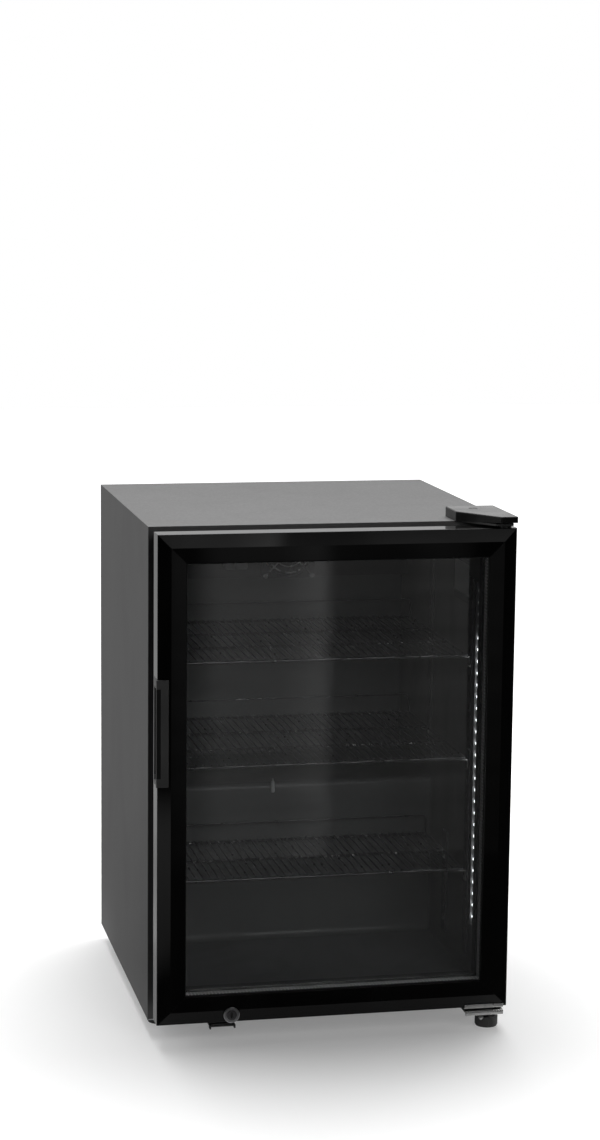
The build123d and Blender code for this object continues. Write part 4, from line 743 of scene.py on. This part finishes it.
def add_glazing_bead():
    """A thin rubber bead where the glass meets the door frame."""
    pane_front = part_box("outer_pane")[0].y
    rail_low, rail_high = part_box("door_bottom_rail")
    inner = rail_high.z - rail_low.z
    door_low, door_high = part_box("door_left_stile")[0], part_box("door_right_stile")[1]
    bm = bmesh.new()
    section = [(0.0, 0.0), (1.3 * MM, 0.0), (0.9 * MM, 0.6 * MM), (0.0, 0.9 * MM)]
    corners = []
    for x_side, z_side in ((1, 1), (-1, 1), (-1, -1), (1, -1)):
        edge_x = door_high.x - inner if x_side > 0 else door_low.x + inner
        edge_z = door_high.z - inner if z_side > 0 else door_low.z + inner
        corners.append([bm.verts.new((edge_x - x_side * reach, pane_front - rise, edge_z - z_side * reach))
                        for reach, rise in section])
    for here, there in zip(corners, corners[1:] + corners[:1]):
        for index in range(len(section)):
            after = (index + 1) % len(section)
            bm.faces.new((here[index], here[after], there[after], there[index]))
    add_part("glazing_bead", finished_mesh("glazing_bead", bm, False), gasket_rubber, "door")


add_light_lenses()
add_blank_label()
add_probe()
add_bracket_bolt()
add_back_screws()
add_glazing_bead()


# ------------------------------------------------------------------ camera
AZIMUTH, ELEVATION, ROLL = (math.radians(angle) for angle in (-12.20, 8.85, 0.60))
CAMERA_PLACE = (-0.780, -3.617, 1.191)
SENSOR_WIDTH, FOCAL_LENGTH = 36.0, 82.07


def add_camera():
    """The front view, from a little left and above, with a slight roll."""
    data = bpy.data.cameras.new("camera")
    data.sensor_width = SENSOR_WIDTH
    data.lens = FOCAL_LENGTH
    data.clip_start, data.clip_end = 0.05, 50.0
    camera = bpy.data.objects.new("camera", data)
    scene.collection.objects.link(camera)
    back = Vector((math.sin(AZIMUTH) * math.cos(ELEVATION), -math.cos(AZIMUTH) * math.cos(ELEVATION),
                   math.sin(ELEVATION)))
    level = Vector((math.cos(AZIMUTH), math.sin(AZIMUTH), 0.0))
    upright = back.cross(level)
    right = math.cos(ROLL) * level + math.sin(ROLL) * upright
    up = back.cross(right)
    turned = Matrix((right, up, back)).transposed()
    camera.matrix_world = Matrix.Translation(CAMERA_PLACE) @ turned.to_4x4()
    scene.camera = camera


# ------------------------------------------------------------------ floor, backdrop and light
def add_stage_sheet(name, corners):
    """A flat four-cornered piece that belongs to the studio."""
    mesh = bpy.data.meshes.new(name)
    mesh.from_pydata(corners, [], [(0, 1, 2, 3)])
    sheet = bpy.data.objects.new(name, mesh)
    scene.collection.objects.link(sheet)
    return sheet


def add_floor():
    """White floor: bright to the camera, darker close by, and in gloss only a few bright fields."""
    reach = 9.0
    floor = add_stage_sheet("floor", [(-reach, -reach, 0), (reach, -reach, 0), (reach, reach, 0),
                                      (-reach, reach, 0)])
    floor.location.z = -0.0002
    paper = Finish("floor_paper", 0.80, 0.75)
    tree = paper.tree
    rays = put(tree, "ShaderNodeLightPath")
    place = room_place(tree)
    axes = put(tree, "ShaderNodeSeparateXYZ", Vector=place).outputs

    def fade(axis, start, stop, first, last):
        return remap(tree, axes[axis], start, stop, first, last)

    front = fade("Y", -0.36, -0.32, 0.04, 1.0)
    left = fade("X", -0.40, -0.27, 0.25, 1.0)
    near = sum_of(tree, "MULTIPLY", front, left)
    seen = sum_of(tree, "MAXIMUM", rays.outputs["Is Camera Ray"], near, clamp=True)
    paper.set("Base Color", blend_colours(tree, seen, 0.02, 0.82))
    span = put(tree, "ShaderNodeVectorMath", operation="LENGTH")
    feed(tree, span, 0, place)
    far = remap(tree, span.outputs["Value"], 0.30, 1.60, 0.22, 1.0)
    paper.set("Emission Color", blend_colours(tree, far, 0.0, 1.0))
    beyond, aside = fade("Y", -1.70, -1.40, 0.0, 1.3), fade("X", -0.33, -0.38, 0.0, 1.0)
    ahead, under = fade("Y", -0.40, -0.30, 1.0, 0.0), fade("Y", -0.35, -0.32, 0.0, 1.6)
    open_floor = sum_of(tree, "MULTIPLY", sum_of(tree, "MULTIPLY", beyond, aside), ahead)
    strip = sum_of(tree, "MULTIPLY", under, sum_of(tree, "LESS_THAN", axes["Y"], -0.24))
    behind = fade("Y", 0.40, 0.90, 0.0, 0.40)
    bright = sum_of(tree, "MAXIMUM", sum_of(tree, "MAXIMUM", open_floor, strip), behind)
    mirrored = sum_of(tree, "MULTIPLY", rays.outputs["Is Glossy Ray"], bright)
    paper.set("Emission Strength", sum_of(tree, "MAXIMUM", rays.outputs["Is Camera Ray"], mirrored))
    floor.data.materials.append(paper.material)


def add_backdrop():
    """White behind the object. For reflections it is bright behind and dim in front, as in a studio."""
    world = bpy.data.worlds.new("backdrop")
    scene.world = world
    world.use_nodes = True
    tree = world.node_tree
    tree.nodes.clear()
    place = put(tree, "ShaderNodeSeparateXYZ", Vector=put(tree, "ShaderNodeTexCoord").outputs["Generated"])
    behind = remap(tree, place.outputs["Y"], -0.10, 0.60, 0.010, 0.85)
    rays = put(tree, "ShaderNodeLightPath")
    seen = sum_of(tree, "MAXIMUM", rays.outputs["Is Camera Ray"], behind)
    light = put(tree, "ShaderNodeBackground", Color=(1.0, 1.0, 1.0, 1.0))
    feed(tree, light, 1, seen)
    out = put(tree, "ShaderNodeOutputWorld")
    tree.links.new(light.outputs[0], out.inputs["Surface"])


def add_soft_light(name, place, aim, size, power, in_gloss=True):
    """A rectangular area light at a place, turned to its aim."""
    data = bpy.data.lights.new(name, "AREA")
    data.shape = "RECTANGLE"
    data.size, data.size_y = size
    data.energy = power
    light = bpy.data.objects.new(name, data)
    scene.collection.objects.link(light)
    light.location = place
    light.visible_glossy = in_gloss
    light.rotation_mode = "QUATERNION"
    light.rotation_quaternion = (Vector(aim) - Vector(place)).to_track_quat("-Z", "Y")


def add_reflected_card(name, sides, levels, low, high):
    """A bright card in front that shows only in gloss and glass.

    Its glow grows from low at the floor to high above, and changes in soft bands from its left side on.
    """
    left, right = sides
    foot, top = levels
    card_y = -1.2
    card = add_stage_sheet(name, [(left, card_y, foot), (right, card_y, foot), (right, card_y, top),
                                  (left, card_y, top)])
    for ray in ("camera", "diffuse", "shadow", "transmission", "volume_scatter"):
        setattr(card, "visible_" + ray, False)
    material = bpy.data.materials.new(name + "_glow")
    material.use_nodes = True
    tree = material.node_tree
    tree.nodes.clear()
    place = room_place(tree)
    axes = put(tree, "ShaderNodeSeparateXYZ", Vector=place).outputs
    upright = remap(tree, axes["Z"], 0.0, 0.6, low, high)
    slant = put(tree, "ShaderNodeMapping", Vector=place, Rotation=(0.0, math.radians(-32), 0.0),
                Scale=(0.5, 1.0, 9.0))
    cloud = put(tree, "ShaderNodeTexNoise", Vector=slant.outputs[0], Scale=3.0, Detail=4.0)
    streaks = remap(tree, cloud.outputs["Fac"], 0.35, 0.65, 0.75, 1.2)
    across = sum_of(tree, "MULTIPLY_ADD", cloud.outputs["Fac"], 0.04, axes["X"])
    fade_in = remap(tree, across, left + 0.02, left + 0.07, 0.0, 1.0)
    rise = remap(tree, across, left + 0.18, left + 0.24, 1.1, 1.9)
    drop = remap(tree, across, left + 0.25, left + 0.275, 1.0, 0.24)
    second = remap(tree, across, left + 0.39, left + 0.45, 0.0, 0.35)
    band = sum_of(tree, "MULTIPLY_ADD", rise, drop, second)
    sides = sum_of(tree, "MULTIPLY", band, fade_in)
    strength = sum_of(tree, "MULTIPLY", sum_of(tree, "MULTIPLY", sides, upright), streaks)
    glow = put(tree, "ShaderNodeEmission", Color=(1.0, 1.0, 1.0, 1.0))
    feed(tree, glow, 1, strength)
    out = put(tree, "ShaderNodeOutputMaterial")
    tree.links.new(glow.outputs[0], out.inputs["Surface"])
    card.data.materials.append(material)


add_camera()
add_floor()
add_backdrop()
add_soft_light("left_softbox", (-2.4, 0.45, 1.3), (0, 0, 0.35), (1.6, 1.6), 14.0)
add_soft_light("top_softbox", (0.2, 0.6, 2.3), (0, 0, 0.4), (2.0, 1.6), 55.0)
add_soft_light("front_fill", (0.3, -2.6, 1.5), (0, 0, 0.4), (1.2, 1.2), 14.0, in_gloss=False)
add_reflected_card("front_card", (-0.04, 0.45), (0.0, 0.9), 0.18, 0.46)
add_reflected_card("upper_card", (-0.12, 0.62), (0.94, 1.4), 1.3, 1.3)
scene.view_settings.view_transform = "Standard"
scene.view_settings.look = "None"
